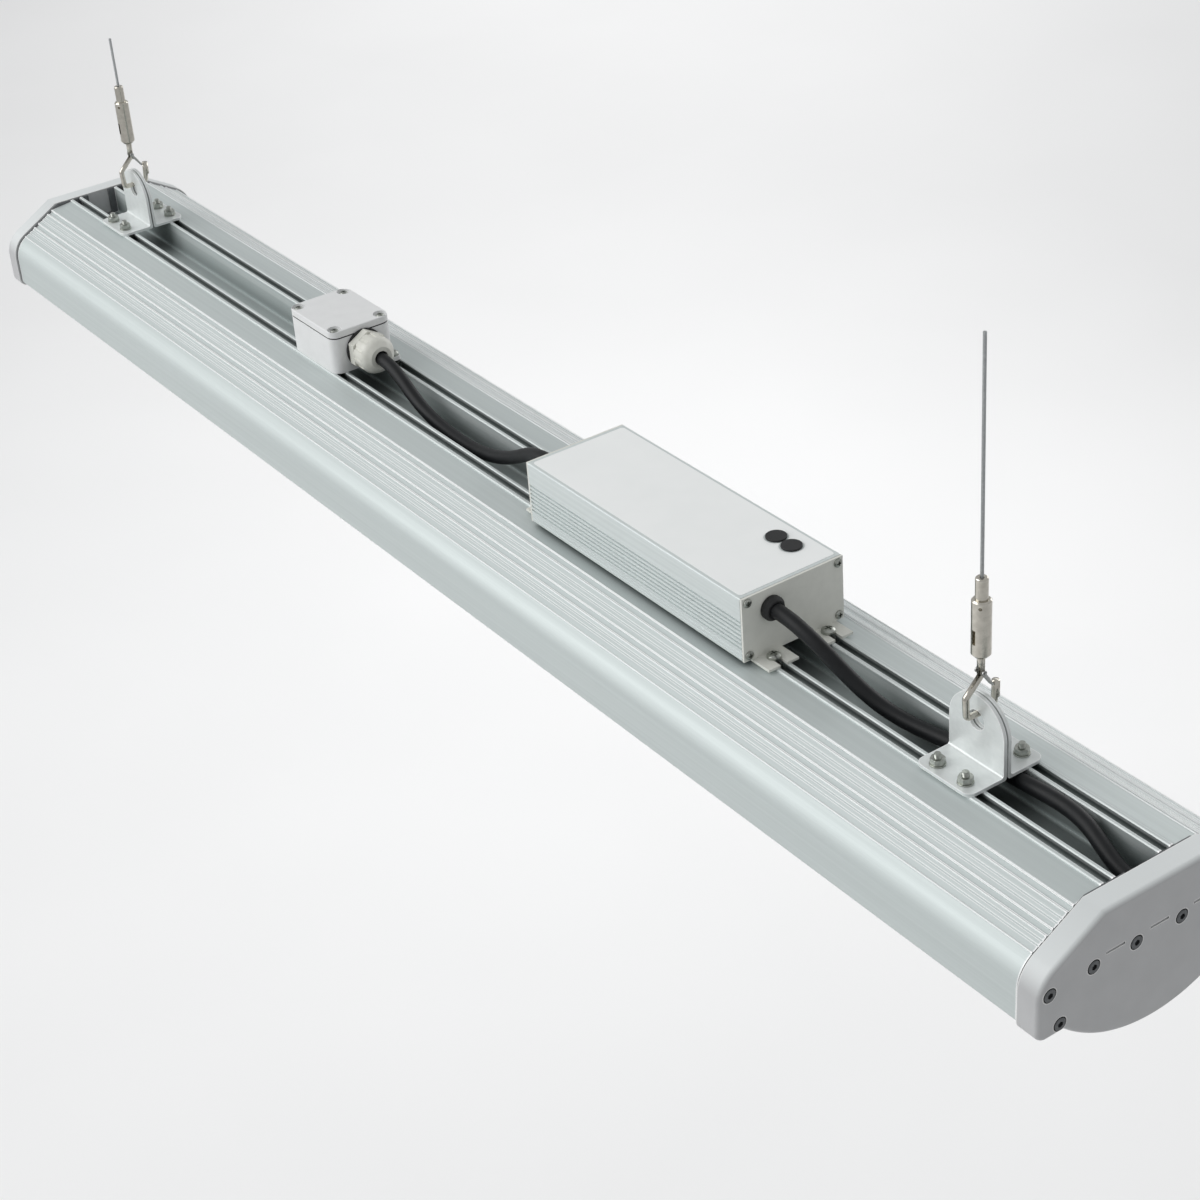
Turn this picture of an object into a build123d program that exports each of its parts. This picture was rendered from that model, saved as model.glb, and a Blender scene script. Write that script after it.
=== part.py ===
"""Linear high bay light: finned aluminium body, driver, junction box and two wire suspensions.

Frame: X runs along the body, towards the end where the output lead enters; Y points to the
rear T-slot; Z is up. The origin is at the middle of the body, level with its lowest point.
All sizes are in millimetres.
"""

from build123d import *
from math import cos, pi, radians, sin, sqrt, tan
import os

os.makedirs("parts", exist_ok=True)

# Body extrusion
BODY_L = 1105.0
BODY_TOP = 80.0
BODY_HALF_W = 74.0
WALL = 2.5
CHANNEL_HALF_W = 13.5
CHANNEL_DEPTH = 20.0
SLOT_Y = 18.4
SLOT_OPENING = 4.8
SLOT_INNER_W = 7.2
SLOT_LIP_T = 2.2
SLOT_DEPTH = 6.6
SLOT_CHAMFER = 0.7
LIP_HALF_W = 23.5
LIP_STEP = 1.2
LIP_CHAMFER = 0.5
SHOULDER_Y = 39.2
SHOULDER_DROP = 3.1
SLOPE_END_INSET = 9.3
SLOPE_END_DROP = 17.8
SIDE_TOP_DROP = 34.0
SIDE_BOTTOM_DROP = 55.0
BOTTOM_CORNER_R = 4.0
LED_WEB_DROP = 40.0
LED_WEB_T = 3.0
RIB_T = 2.2
RIB_Y = 41.5
GROOVE_W = 2.8
GROOVE_D = 1.0
GROOVE_SHARES = (0.10, 0.59)
SCORE_W = 0.8
SCORE_D = 0.45
SCORE_SHARES = (0.30, 0.40, 0.76, 0.86)
BEAD_R = 0.55
BEAD_SHARES = (0.02, 0.18, 0.51, 0.67, 1.0)

# Screw ports that take the end cap screws: distance from the middle, drop below the top
PORT_R = 1.65
PORT_BOSS_R = 3.4
ROW_DROP = 28.5
ROW_INNER_Y = 14.6
SIDE_PORT_INSET = 5.4
SIDE_PORT_DROP = 30.5
FOOT_PORT_INSET = 12.3
FOOT_PORT_DROP = 51.0

# Diffuser and its seats
SEAT_INNER_INSET = 15.8
SEAT_OUTER_INSET = 8.8
SEAT_H = 8.0
LENS_T = 2.4
LENS_LEG_T = 2.3
LENS_CLEAR = 0.3
LENS_BELLY = 1.5
BELLY_PAST_SEAT = 1.59

# End caps and gaskets
GASKET_T = 1.5
CAP_DEPTH = 14.0
CAP_PROUD = 1.5
CAP_TOP_PROUD = 0.5
CAP_WALL = 3.0
CAP_EDGE_R = 2.6
CAP_CORNER_R = 5.5
CAP_SCREW_CLEAR_R = 2.2
CAP_BORE_R = 4.0
CAP_BORE_DEPTH = 2.2
CAP_DASH = (12.0, 1.4, 0.6)
GASKET_INSET = 0.4
GASKET_W = 5.0

# Cap screws
CAP_SCREW_R = 1.6
CAP_SCREW_HEAD_R = 3.5
CAP_SCREW_HEAD_H = 2.6
CAP_SCREW_L = 28.0
SOCKET_FLATS = 2.9
SOCKET_DEPTH = 1.6

# LED boards
BOARD_W = 44.0
BOARD_T = 1.6
BOARD_END_GAP = 2.0
BOARD_MIDDLE_GAP = 9.0
BOARD_Y = 27.0
LED_SIZE = (3.4, 3.4, 0.9)
LEDS_PER_ROW = 22
LED_ROW_Y = 11.0
BOARD_SCREW_HEAD_R = 2.8
BOARD_SCREW_HEAD_H = 1.8
BOARD_SCREW_R = 1.4
BOARD_SCREW_INSET = 23.0

# Leads and grommets
LEAD_D = 8.5
LEAD_PAST_WALL = 0.5
ENTRY_DROP = 11.0
ENTRY_HOLE_R = 6.2
GROMMET_FLANGE_R = 7.8
GROMMET_FLANGE_T = 1.5
BOOT_R = 7.0
BOOT_L = 5.0

# Driver
DRIVER_X = 204.0
DRIVER_L = 200.0
DRIVER_W = 68.0
DRIVER_H = 38.8
PLATE_T = 1.5
DRIVER_WALL = 2.2
FIN_PITCH = 2.7
FIN_GAP = 1.3
FIN_DEPTH = 1.2
FIN_COUNT = 9
FIN_START = 2.6
CORE_CLEAR = 0.3
FOOT_W = 20.0
FOOT_REACH = 14.0
FOOT_SCREW_REACH = 5.5
FOOT_SLOT_W = 4.6
PLATE_SCREW_INSET = 3.4
PLATE_SCREW_R = 1.5
PLATE_SCREW_HEAD_R = 2.6
LEAD_Z = 27.0
OUTPUT_LEAD_Y = -15.0
INPUT_LEAD_Y = -12.0
PLUG_R = 6.0
PLUG_HEAD_H = 1.2
PLUG_NECK_R = 4.0
PLUG_PITCH = 13.0
PLUG_FROM_END = 31.5
PLUG_Y = 19.5

# Slot screws, nuts and bolts
M4_R = 2.0
M4_CLEAR = 0.05
PAN_R = 4.0
PAN_H = 2.8
CROSS_W = 0.9
CROSS_L = 4.4
CROSS_DEPTH = 1.3
SLOT_NUT_SIDE = 6.6
SLOT_NUT_H = 2.6
NUT_FLATS = 7.0
NUT_H = 3.2
WASHER_R = 4.3
WASHER_T = 0.8
STUD_ABOVE_NUT = 2.6

# Junction box
BOX_X = -171.5
BOX_L = 58.0
BOX_W = 45.0
BOX_H = 30.0
BOX_WALL = 2.8
BOX_CORNER_R = 6.5
LID_T = 4.5
LID_GASKET_T = 1.0
LID_NOTCH_R = 4.6
LID_NOTCH_D = 1.8
POST_INSET = 5.2
POST_R = 4.2
LID_SCREW_R = 1.5
LID_SCREW_HEAD_R = 2.8
LID_SCREW_HEAD_H = 1.7
LUG_W = 9.5
LUG_T = 3.0
LUG_REACH = 8.0
LUG_SCREW_REACH = 3.8
ENTRY_R = 9.6
ENTRY_BOSS_T = 5.0
ENTRY_BOSS_HALF_W = 13.0
GLAND_Z = 13.5

# Cable gland
GLAND_RING_T = 1.8
GLAND_RING_R = 13.2
GLAND_HEX = 24.0
GLAND_HEX_L = 6.0
GLAND_BODY_R = 8.4
GLAND_BODY_L = 9.0
GLAND_BORE_R = 6.4
DOME_R = 12.6
DOME_L = 15.0
DOME_MOUTH_R = 4.8
DOME_TIP_R = 7.6
DOME_RIBS = 12

# Terminal block
TERMINAL_POLES = 3
TERMINAL_PITCH = 9.0
TERMINAL_DEPTH = 17.0
TERMINAL_H = 13.0
TERMINAL_SCREW_R = 1.7

# Suspension brackets
NEAR_BRACKET_INSET = 105.5
FAR_BRACKET_INSET = 77.5
BRACKET_L = 39.0
BRACKET_T = 2.0
EAR_GAP = 1.0
FLANGE_REACH = 24.5
FLANGE_CORNER_R = 5.0
BRACKET_BOLT_PITCH = 20.0
EAR_TOP = 40.5
EAR_HOLE_R = 5.5
EAR_HOLE_Z = 26.0
BEND_R = 1.5

# Hook, gripper and wire
ROD_R = 1.75
SHANK_R = 2.0
TIP_R = 2.1
ROD_CLEAR = 0.1
NECK_Z = 52.0
ARM_Y = 9.6
ARM_Z = 41.5
TIP_Y = 9.8
TIP_TOP = 44.0
TIP_L = 9.0
HOOK_BEND_R = 2.6
GATE_PIN_R = 0.6
GATE_EYE_R = 1.5
GATE_CHEEK_T = 0.7
GATE_GAP = 0.2
GATE_T = 1.1
GATE_CLEAR = 0.8
GATE_STRIP_START = 4.6
PIN_CLEAR = 0.04
GRIPPER_R = 5.0
GRIPPER_Z = 62.0
GRIPPER_L = 32.0
GRIPPER_EDGE = 0.8
SHANK_IN = 6.0
COLLAR_R = 3.25
COLLAR_CLEAR = 0.06
COLLAR_L = 18.0
COLLAR_ABOVE = 11.8
COLLAR_TRAVEL = 3.0
WIRE_R = 1.0
WIRE_GRIPPED_R = 0.83
WIRE_GRIP_ABOVE = 0.3
WIRE_CLEAR = 0.2
WIRE_IN = 24.0
NEAR_WIRE_TOP = 232.0
FAR_WIRE_TOP = 141.5
TAIL_SLOT = (2.2, 8.0)
TAIL_SLOT_Z = 8.0
SIGHT_HOLE_R = 0.9
SIGHT_HOLE_DROP = 3.2
SIGHT_HOLE_TURN = -50.0

# Places that follow from the sizes above
BODY_END = BODY_L / 2
SLOPE_END_Y = BODY_HALF_W - SLOPE_END_INSET
SEAT_INNER_Y = BODY_HALF_W - SEAT_INNER_INSET
SEAT_OUTER_Y = BODY_HALF_W - SEAT_OUTER_INSET
BOARD_L = (BODY_L - 2 * BOARD_END_GAP - BOARD_MIDDLE_GAP) / 2
BOARD_SCREW_PITCH = BOARD_L / 2 - BOARD_SCREW_INSET
NEAR_BRACKET_X = BODY_END - NEAR_BRACKET_INSET
FAR_BRACKET_X = FAR_BRACKET_INSET - BODY_END
CAP_START = BODY_END + GASKET_T
CAP_END = CAP_START + CAP_DEPTH
DRIVER_BOTTOM = BODY_TOP + PLATE_T
DRIVER_TOP = DRIVER_BOTTOM + DRIVER_H
BOX_TOP = BODY_TOP + BOX_H
BOX_BASE_H = BOX_H - LID_T - LID_GASKET_T
LED_WEB_BOTTOM = BODY_TOP - LED_WEB_DROP
SEAT_BOTTOM = BODY_TOP - SIDE_BOTTOM_DROP
BELLY_HALF_W = SEAT_INNER_Y + BELLY_PAST_SEAT
BELLY_R = (BELLY_HALF_W**2 + SEAT_BOTTOM**2) / (2 * SEAT_BOTTOM)
PIVOT_Z = BODY_TOP + EAR_HOLE_Z + EAR_HOLE_R - ROD_R - ROD_CLEAR
GRIPPER_BOTTOM = BODY_TOP + GRIPPER_Z
GRIPPER_TOP = GRIPPER_BOTTOM + GRIPPER_L
COLLAR_TOP = GRIPPER_TOP + COLLAR_ABOVE
SHANK_TOP = GRIPPER_BOTTOM + SHANK_IN
SLOT_YS = (-SLOT_Y, SLOT_Y)
SIDES = (-1, 1)
PORTS = (
    (ROW_INNER_Y, BODY_TOP - ROW_DROP),
    (RIB_Y, BODY_TOP - ROW_DROP),
    (BODY_HALF_W - SIDE_PORT_INSET, BODY_TOP - SIDE_PORT_DROP),
    (BODY_HALF_W - FOOT_PORT_INSET, BODY_TOP - FOOT_PORT_DROP),
)

# Routes of the two leads, from the gland to the driver and from the driver to the end cap:
# x from the lead's start, y from the body's middle plane, z from the lips
INPUT_ROUTE = (
    (0.0, 0.0, 13.5),
    (21.7, 0.0, 13.5),
    (39.2, -0.6, 7.9),
    (55.2, -1.2, -0.1),
    (72.7, -1.6, -6.0),
    (96.7, -2.1, -8.6),
    (121.7, -2.6, -8.5),
    (144.7, -3.2, -4.8),
    (165.7, -4.2, 2.2),
    (183.7, -5.8, 11.0),
    (198.2, -8.0, 19.4),
    (211.7, -10.4, 25.2),
    (225.2, -12.0, 28.5),
    (238.7, -12.0, 28.5),
)
OUTPUT_ROUTE = (
    (0.0, -15.0, 28.5),
    (13.0, -15.0, 28.5),
    (26.0, -14.2, 25.4),
    (37.5, -12.0, 19.5),
    (48.0, -8.4, 10.8),
    (58.5, -4.4, 2.2),
    (70.5, -0.4, -4.6),
    (84.5, 3.4, -8.2),
    (101.0, 6.6, -8.8),
    (121.0, 8.6, -7.0),
    (143.0, 9.0, -5.3),
    (162.0, 8.9, -4.7),
    (180.5, 9.0, -3.0),
    (196.5, 8.7, -2.4),
    (210.5, 7.2, -3.8),
    (222.5, 4.0, -6.6),
    (233.0, 1.6, -9.6),
    (243.5, 0.0, -11.0),
    (253.5, 0.0, -11.0),
)


def save(name, *solids):
    """Writes one node; a node of several pieces holds them as separate solids."""
    shape = solids[0] if len(solids) == 1 else Compound(list(solids))
    export_step(shape, f"parts/{name}.step")


def bar(profile, start, end):
    """Extrudes a profile drawn in Y and Z from x = start to x = end."""
    return extrude(Plane.YZ.offset(start) * profile, amount=end - start)


def rod(x, y, z, radius, length, axis=(0, 0, 1)):
    """A cylinder that starts at a point and runs along an axis."""
    return extrude(Plane((x, y, z), z_dir=axis) * Circle(radius), amount=length)


def block(x0, x1, y0, y1, z0, z1):
    """A box between two corners."""
    return Pos((x0 + x1) / 2, (y0 + y1) / 2, (z0 + z1) / 2) * Box(x1 - x0, y1 - y0, z1 - z0)


def turned(points, x, y, z, axis):
    """A body of revolution: pairs of distance along the axis and radius."""
    outline = [(0, points[0][0])] + [(r, d) for d, r in points] + [(0, points[-1][0])]
    spun = revolve(Plane.XZ * make_face(Polyline(*outline, close=True)), Axis.Z)
    return Plane((x, y, z), z_dir=axis) * spun


def outer_outline(proud=0.0, top_proud=0.0, corner_r=BOTTOM_CORNER_R, plain_top=False):
    """The closed outline of the body's upper part, down to its bottom edge."""
    side = BODY_HALF_W + proud
    bottom = SEAT_BOTTOM - proud
    slope = Vector(SLOPE_END_Y - SHOULDER_Y, SHOULDER_DROP - SLOPE_END_DROP).normalized()
    out = Vector(-slope.Y, slope.X) * proud
    shoulder = Vector(SHOULDER_Y, BODY_TOP - SHOULDER_DROP) + out
    knee = Vector(SLOPE_END_Y, BODY_TOP - SLOPE_END_DROP) + out
    side_top = (side, BODY_TOP - SIDE_TOP_DROP)
    if plain_top:
        rise = BODY_TOP + top_proud - shoulder.Y
        corner_y = shoulder.X - rise * slope.X / -slope.Y
        head = [(0, BODY_TOP + top_proud), (corner_y, BODY_TOP + top_proud)]
    else:
        head = [
            (0, BODY_TOP - CHANNEL_DEPTH),
            (CHANNEL_HALF_W, BODY_TOP - CHANNEL_DEPTH),
            (CHANNEL_HALF_W, BODY_TOP - LIP_CHAMFER),
            (CHANNEL_HALF_W + LIP_CHAMFER, BODY_TOP),
            (LIP_HALF_W - LIP_CHAMFER, BODY_TOP),
            (LIP_HALF_W, BODY_TOP - LIP_CHAMFER),
            (LIP_HALF_W, BODY_TOP - LIP_STEP),
            (shoulder.X, shoulder.Y),
        ]
    lines = Polyline(*head, (knee.X, knee.Y))
    lines += TangentArc((knee.X, knee.Y), side_top, tangent=slope)
    lines += Line(side_top, (side, bottom + corner_r))
    lines += RadiusArc((side, bottom + corner_r), (side - corner_r, bottom), corner_r)
    lines += Line((side - corner_r, bottom), (0, bottom))
    half = make_face(lines + Line((0, bottom), head[0]))
    return half + mirror(half, Plane.YZ)


def belly(radius):
    """The bulging lower part: a disc cut off at the body's bottom edge, between the lens seats."""
    disc = Pos(0, BELLY_R) * Circle(radius)
    window = Pos(0, SEAT_BOTTOM / 2 + 1) * Rectangle(2 * SEAT_INNER_Y, SEAT_BOTTOM + 2)
    return disc & window


def slope_details(section):
    """Grooves, fine scores and raised beads along both slopes of the extrusion's section."""
    slope = Vector(SLOPE_END_Y - SHOULDER_Y, SHOULDER_DROP - SLOPE_END_DROP)
    tilt = slope.get_angle(Vector(1, 0, 0))
    cuts = [(share, GROOVE_W, GROOVE_D) for share in GROOVE_SHARES]
    cuts += [(share, SCORE_W, SCORE_D) for share in SCORE_SHARES]
    for side in SIDES:
        for share in BEAD_SHARES:
            point = Vector(SHOULDER_Y, BODY_TOP - SHOULDER_DROP) + slope * share
            section += Pos(side * point.X, point.Y) * Circle(BEAD_R)
        for share, width, depth in cuts:
            point = Vector(SHOULDER_Y, BODY_TOP - SHOULDER_DROP) + slope * share
            section -= Pos(side * point.X, point.Y) * Rot(0, 0, -side * tilt) * Rectangle(width, 2 * depth)
    return section


def housing_profile():
    """The extrusion's section: channel, T-slots, chambers, LED web, lens seats and screw ports."""
    web_top = LED_WEB_BOTTOM + LED_WEB_T
    inner_y = BODY_HALF_W - WALL
    slot_floor = BODY_TOP - SLOT_DEPTH
    rib_inner = CHANNEL_HALF_W + WALL
    pocket_y = SLOT_Y + SLOT_INNER_W / 2 + WALL
    section = outer_outline()
    chamber = make_face(
        Polyline(
            (rib_inner, web_top),
            (rib_inner, slot_floor - 2),
            (pocket_y, slot_floor - 2),
            (pocket_y, BODY_TOP - LIP_STEP - 3),
            (SHOULDER_Y - 0.8, BODY_TOP - SHOULDER_DROP - WALL),
            (SLOPE_END_Y - 1.4, BODY_TOP - SLOPE_END_DROP - WALL),
            (inner_y, BODY_TOP - SIDE_TOP_DROP),
            (inner_y, web_top),
            close=True,
        )
    )
    chamber -= Pos(RIB_Y, BODY_TOP / 2) * Rectangle(RIB_T, BODY_TOP)
    seat = Pos((SEAT_INNER_Y + SEAT_OUTER_Y) / 2, SEAT_BOTTOM + SEAT_H / 2) * Rectangle(
        SEAT_OUTER_Y - SEAT_INNER_Y, SEAT_H
    )
    lower_h = LED_WEB_BOTTOM - SEAT_BOTTOM - WALL
    lower = Pos(inner_y / 2, SEAT_BOTTOM + WALL + lower_h / 2) * Rectangle(inner_y, lower_h) - seat
    lower += Pos(SEAT_INNER_Y / 2, SEAT_BOTTOM) * Rectangle(SEAT_INNER_Y, 2 * WALL)
    slot = Pos(SLOT_Y, BODY_TOP) * Rectangle(SLOT_OPENING, 2 * SLOT_DEPTH)
    for edge in (SLOT_Y - SLOT_OPENING / 2, SLOT_Y + SLOT_OPENING / 2):
        slot += Pos(edge, BODY_TOP) * Rot(0, 0, 45) * Rectangle(SLOT_CHAMFER, SLOT_CHAMFER)
    slot += Pos(SLOT_Y, (slot_floor + BODY_TOP - SLOT_LIP_T) / 2) * Rectangle(
        SLOT_INNER_W, SLOT_DEPTH - SLOT_LIP_T
    )
    centre_h = BODY_TOP - CHANNEL_DEPTH - WALL - web_top
    centre = Pos(0, web_top + centre_h / 2) * Rectangle(2 * CHANNEL_HALF_W, centre_h)
    voids = chamber + lower + slot
    section -= voids + mirror(voids, Plane.YZ) + centre
    section = slope_details(section)
    for side in SIDES:
        for y, z in PORTS:
            section += (Pos(side * y, z) * Circle(PORT_BOSS_R)) & outer_outline()
    for side in SIDES:
        for y, z in PORTS:
            section -= Pos(side * y, z) * Circle(PORT_R)
    return section


def housing():
    """The body extrusion, drilled for the LED board screws."""
    body = bar(housing_profile(), -BODY_END, BODY_END)
    for x, y in board_screw_points():
        body -= rod(x, y, LED_WEB_BOTTOM, BOARD_SCREW_R, LED_WEB_T)
    return body


def diffuser():
    """The bulging diffuser, with two legs that hook over the body's lens seats."""
    outer = BELLY_R - LENS_BELLY
    inner = outer - LENS_T
    leg_outer = SEAT_INNER_Y - LENS_CLEAR
    leg_top = SEAT_BOTTOM + SEAT_H + LENS_T
    leg_foot = BELLY_R - sqrt(outer**2 - leg_outer**2)
    shell = Pos(0, BELLY_R) * (Circle(outer) - Circle(inner))
    window_h = SEAT_BOTTOM + LENS_T
    band = shell & (Pos(0, window_h / 2) * Rectangle(2 * leg_outer, window_h))
    for side in SIDES:
        leg_y = side * (leg_outer - LENS_LEG_T / 2)
        band += Pos(leg_y, (leg_foot + leg_top) / 2) * Rectangle(LENS_LEG_T, leg_top - leg_foot)
        hook_w = LENS_LEG_T + 3.6
        hook_y = side * (leg_outer - LENS_LEG_T + hook_w / 2)
        band += Pos(hook_y, leg_top - (LENS_T - LENS_CLEAR) / 2) * Rectangle(hook_w, LENS_T - LENS_CLEAR)
    return bar(band, -BODY_END, BODY_END)


def cap_outline():
    """The end cap's outline: the body's, slightly proud, with the belly below."""
    upper = outer_outline(CAP_PROUD, CAP_TOP_PROUD, CAP_CORNER_R, plain_top=True)
    return upper + belly(BELLY_R)


def hidden_block(margin):
    """The part of the end face behind the channel and the T-slots."""
    low = BODY_TOP - CHANNEL_DEPTH - WALL - margin
    high = BODY_TOP + 2 * CAP_TOP_PROUD
    return Pos(0, (low + high) / 2) * Rectangle(2 * (LIP_HALF_W + margin), high - low)


def end_cap(with_entry):
    """A hollow die-cast cap, built at the +X end, with recessed screws and a closed channel end."""
    outline = cap_outline()
    solid = bar(outline, CAP_START, CAP_END)
    front = solid.faces().sort_by(Axis.X)[-1]
    solid = fillet(front.edges(), CAP_EDGE_R)
    pocket = offset(outline, -CAP_WALL) - hidden_block(1.5)
    for side in SIDES:
        for y, z in PORTS:
            pocket -= Pos(side * y, z) * Circle(CAP_BORE_R + 1.2)
    solid -= bar(pocket, CAP_START, CAP_END - CAP_WALL)
    for side in SIDES:
        for y, z in PORTS:
            solid -= rod(CAP_START, side * y, z, CAP_SCREW_CLEAR_R, CAP_DEPTH, (1, 0, 0))
            solid -= rod(CAP_END - CAP_BORE_DEPTH, side * y, z, CAP_BORE_R, CAP_BORE_DEPTH, (1, 0, 0))
    dash_l, dash_h, dash_d = CAP_DASH
    z0 = BODY_TOP - ROW_DROP + 4 - dash_h / 2
    for y in (-(RIB_Y + ROW_INNER_Y) / 2, 0, (RIB_Y + ROW_INNER_Y) / 2):
        solid -= block(CAP_END - dash_d, CAP_END, y - dash_l / 2, y + dash_l / 2, z0, z0 + dash_h)
    if with_entry:
        entry_z = BODY_TOP - ENTRY_DROP
        room = CHANNEL_HALF_W - 3
        low = BODY_TOP - CHANNEL_DEPTH - WALL - 3
        solid -= block(CAP_START + CAP_WALL, CAP_END - CAP_WALL, -room, room, low, BODY_TOP - 3)
        solid -= rod(CAP_START, 0, entry_z, ENTRY_HOLE_R, CAP_WALL, (1, 0, 0))
    return solid


def gasket():
    """The flat gasket at the +X end: a rim, a band round the row of screws and the channel's end."""
    rim = offset(outer_outline(plain_top=True) + belly(BELLY_R - LENS_BELLY), -GASKET_INSET)
    inner = offset(rim, -GASKET_W)
    row_z = BODY_TOP - ROW_DROP
    band = Pos(0, row_z) * Rectangle(2 * BODY_HALF_W, 2 * (PORT_BOSS_R + 1.6))
    openings = inner - band - hidden_block(1.5)
    sheet = rim - openings - Pos(0, BODY_TOP - ENTRY_DROP) * Circle(GROMMET_FLANGE_R + 0.5)
    top = BODY_TOP - CHANNEL_DEPTH + GASKET_INSET
    sheet -= Pos(0, (top + BODY_TOP) / 2 + 1) * Rectangle(2 * (CHANNEL_HALF_W - GASKET_W), BODY_TOP - top + 2)
    for side in SIDES:
        for y, z in PORTS:
            sheet -= Pos(side * y, z) * Circle(CAP_SCREW_CLEAR_R)
    return bar(sheet, BODY_END, CAP_START)


def socket_screw(x, y, z, axis, head_r, head_h, stem_r, length):
    """A cylinder-head screw with a hexagon socket; its seat is at the point, its stem runs back."""
    head = Cylinder(head_r, head_h, align=(Align.CENTER, Align.CENTER, Align.MIN))
    head = chamfer(head.faces().sort_by(Axis.Z)[-1].edges(), 0.3)
    hexagon = Plane.XY.offset(head_h - SOCKET_DEPTH) * RegularPolygon(SOCKET_FLATS / 2, 6, major_radius=False)
    head -= extrude(hexagon, amount=SOCKET_DEPTH)
    back = tuple(-a for a in axis)
    return Plane((x, y, z), z_dir=axis) * head + rod(x, y, z, stem_r, length, back)


def cap_screws():
    """The screws of both end caps, seated in their counterbores."""
    seat = CAP_END - CAP_BORE_DEPTH
    sizes = (CAP_SCREW_HEAD_R, CAP_SCREW_HEAD_H, CAP_SCREW_R, CAP_SCREW_L)
    return [
        socket_screw(end * seat, side * y, z, (end, 0, 0), *sizes)
        for end in SIDES
        for side in SIDES
        for y, z in PORTS
    ]


def board_centres():
    """The centres of the four LED boards, two in each row."""
    return [(ex * (BODY_END - BOARD_END_GAP - BOARD_L / 2), sy * BOARD_Y) for ex in SIDES for sy in SIDES]


def board_screw_points():
    """Where the LED boards are screwed to the web, three places on each."""
    return [(x + k * BOARD_SCREW_PITCH, y) for x, y in board_centres() for k in (-1, 0, 1)]


def led_boards():
    """Aluminium LED boards, screwed up against the web."""
    boards = []
    for x, y in board_centres():
        board = block(x - BOARD_L / 2, x + BOARD_L / 2, y - BOARD_W / 2, y + BOARD_W / 2,
                      LED_WEB_BOTTOM - BOARD_T, LED_WEB_BOTTOM)
        for k in (-1, 0, 1):
            board -= rod(x + k * BOARD_SCREW_PITCH, y, LED_WEB_BOTTOM - BOARD_T, BOARD_SCREW_R + 0.2, BOARD_T)
        boards.append(board)
    return boards


def led_packages():
    """Two rows of LEDs on each board."""
    length, width, height = LED_SIZE
    pitch = BOARD_L / LEDS_PER_ROW
    z = LED_WEB_BOTTOM - BOARD_T - height / 2
    return [
        Pos(x - BOARD_L / 2 + (k + 0.5) * pitch, y + sy * LED_ROW_Y, z) * Box(length, width, height)
        for x, y in board_centres()
        for sy in SIDES
        for k in range(LEDS_PER_ROW)
    ]


def board_screws():
    """Pan-head screws that hold the LED boards to the web."""
    z = LED_WEB_BOTTOM - BOARD_T
    heads = [
        rod(x, y, z - BOARD_SCREW_HEAD_H, BOARD_SCREW_HEAD_R, BOARD_SCREW_HEAD_H)
        for x, y in board_screw_points()
    ]
    stems = [rod(x, y, z, BOARD_SCREW_R, BOARD_T + LED_WEB_T) for x, y in board_screw_points()]
    return [head + stem for head, stem in zip(heads, stems)]


def laid(route, start, end):
    """A lead's points between two x, with its route stretched to reach from one to the other."""
    stretch = (end - start) / route[-1][0]
    return [(start + x * stretch, y, BODY_TOP + z) for x, y, z in route]


def lead_radii(points):
    """One arc radius for each corner: 0.45 of the shorter run over the tangent of half the turn."""
    points = [Vector(*p) for p in points]
    radii = []
    for a, b, c in zip(points, points[1:], points[2:]):
        half_turn = radians((b - a).get_angle(c - b)) / 2
        radii.append(0.45 * min((b - a).length, (c - b).length) / tan(half_turn))
    return radii


def lead(points, diameter):
    """A round lead through its points: straight runs joined by tangent arcs."""
    radii = lead_radii(points)
    path = FilletPolyline(*points, radius=radii)
    start = Plane(path @ 0, z_dir=path % 0)
    tube = sweep(start * Circle(diameter / 2), path)
    expected = path.length * pi * diameter**2 / 4
    print("lead length", round(path.length, 1), "volume ratio", round(tube.volume / expected, 5))
    print("radii", [round(r) for r in radii])
    return tube


def grommet(x, y, z, axis, panel_t, hole_r, flange_r, flange_t, boot_l=0.0):
    """A rubber grommet in a panel whose outer face is at the point; the axis points outwards."""
    neck_r = hole_r - 0.05
    inner_t = 1.5
    points = [
        (-panel_t - inner_t, hole_r + 0.9),
        (-panel_t, hole_r + 0.9),
        (-panel_t, neck_r),
        (0, neck_r),
        (0, flange_r),
        (flange_t, flange_r),
    ]
    if boot_l:
        points += [(flange_t + 0.5 * (boot_l - flange_t), flange_r - 0.8), (boot_l, LEAD_D / 2 + 1.3)]
    body = turned(points, x, y, z, axis)
    length = panel_t + inner_t + max(flange_t, boot_l)
    start = Vector(x, y, z) - Vector(*axis) * (panel_t + inner_t)
    return body - rod(start.X, start.Y, start.Z, LEAD_D / 2, length, axis)


def driver_ends():
    """The x of the driver's far and near end faces."""
    return DRIVER_X - DRIVER_L / 2, DRIVER_X + DRIVER_L / 2


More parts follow.
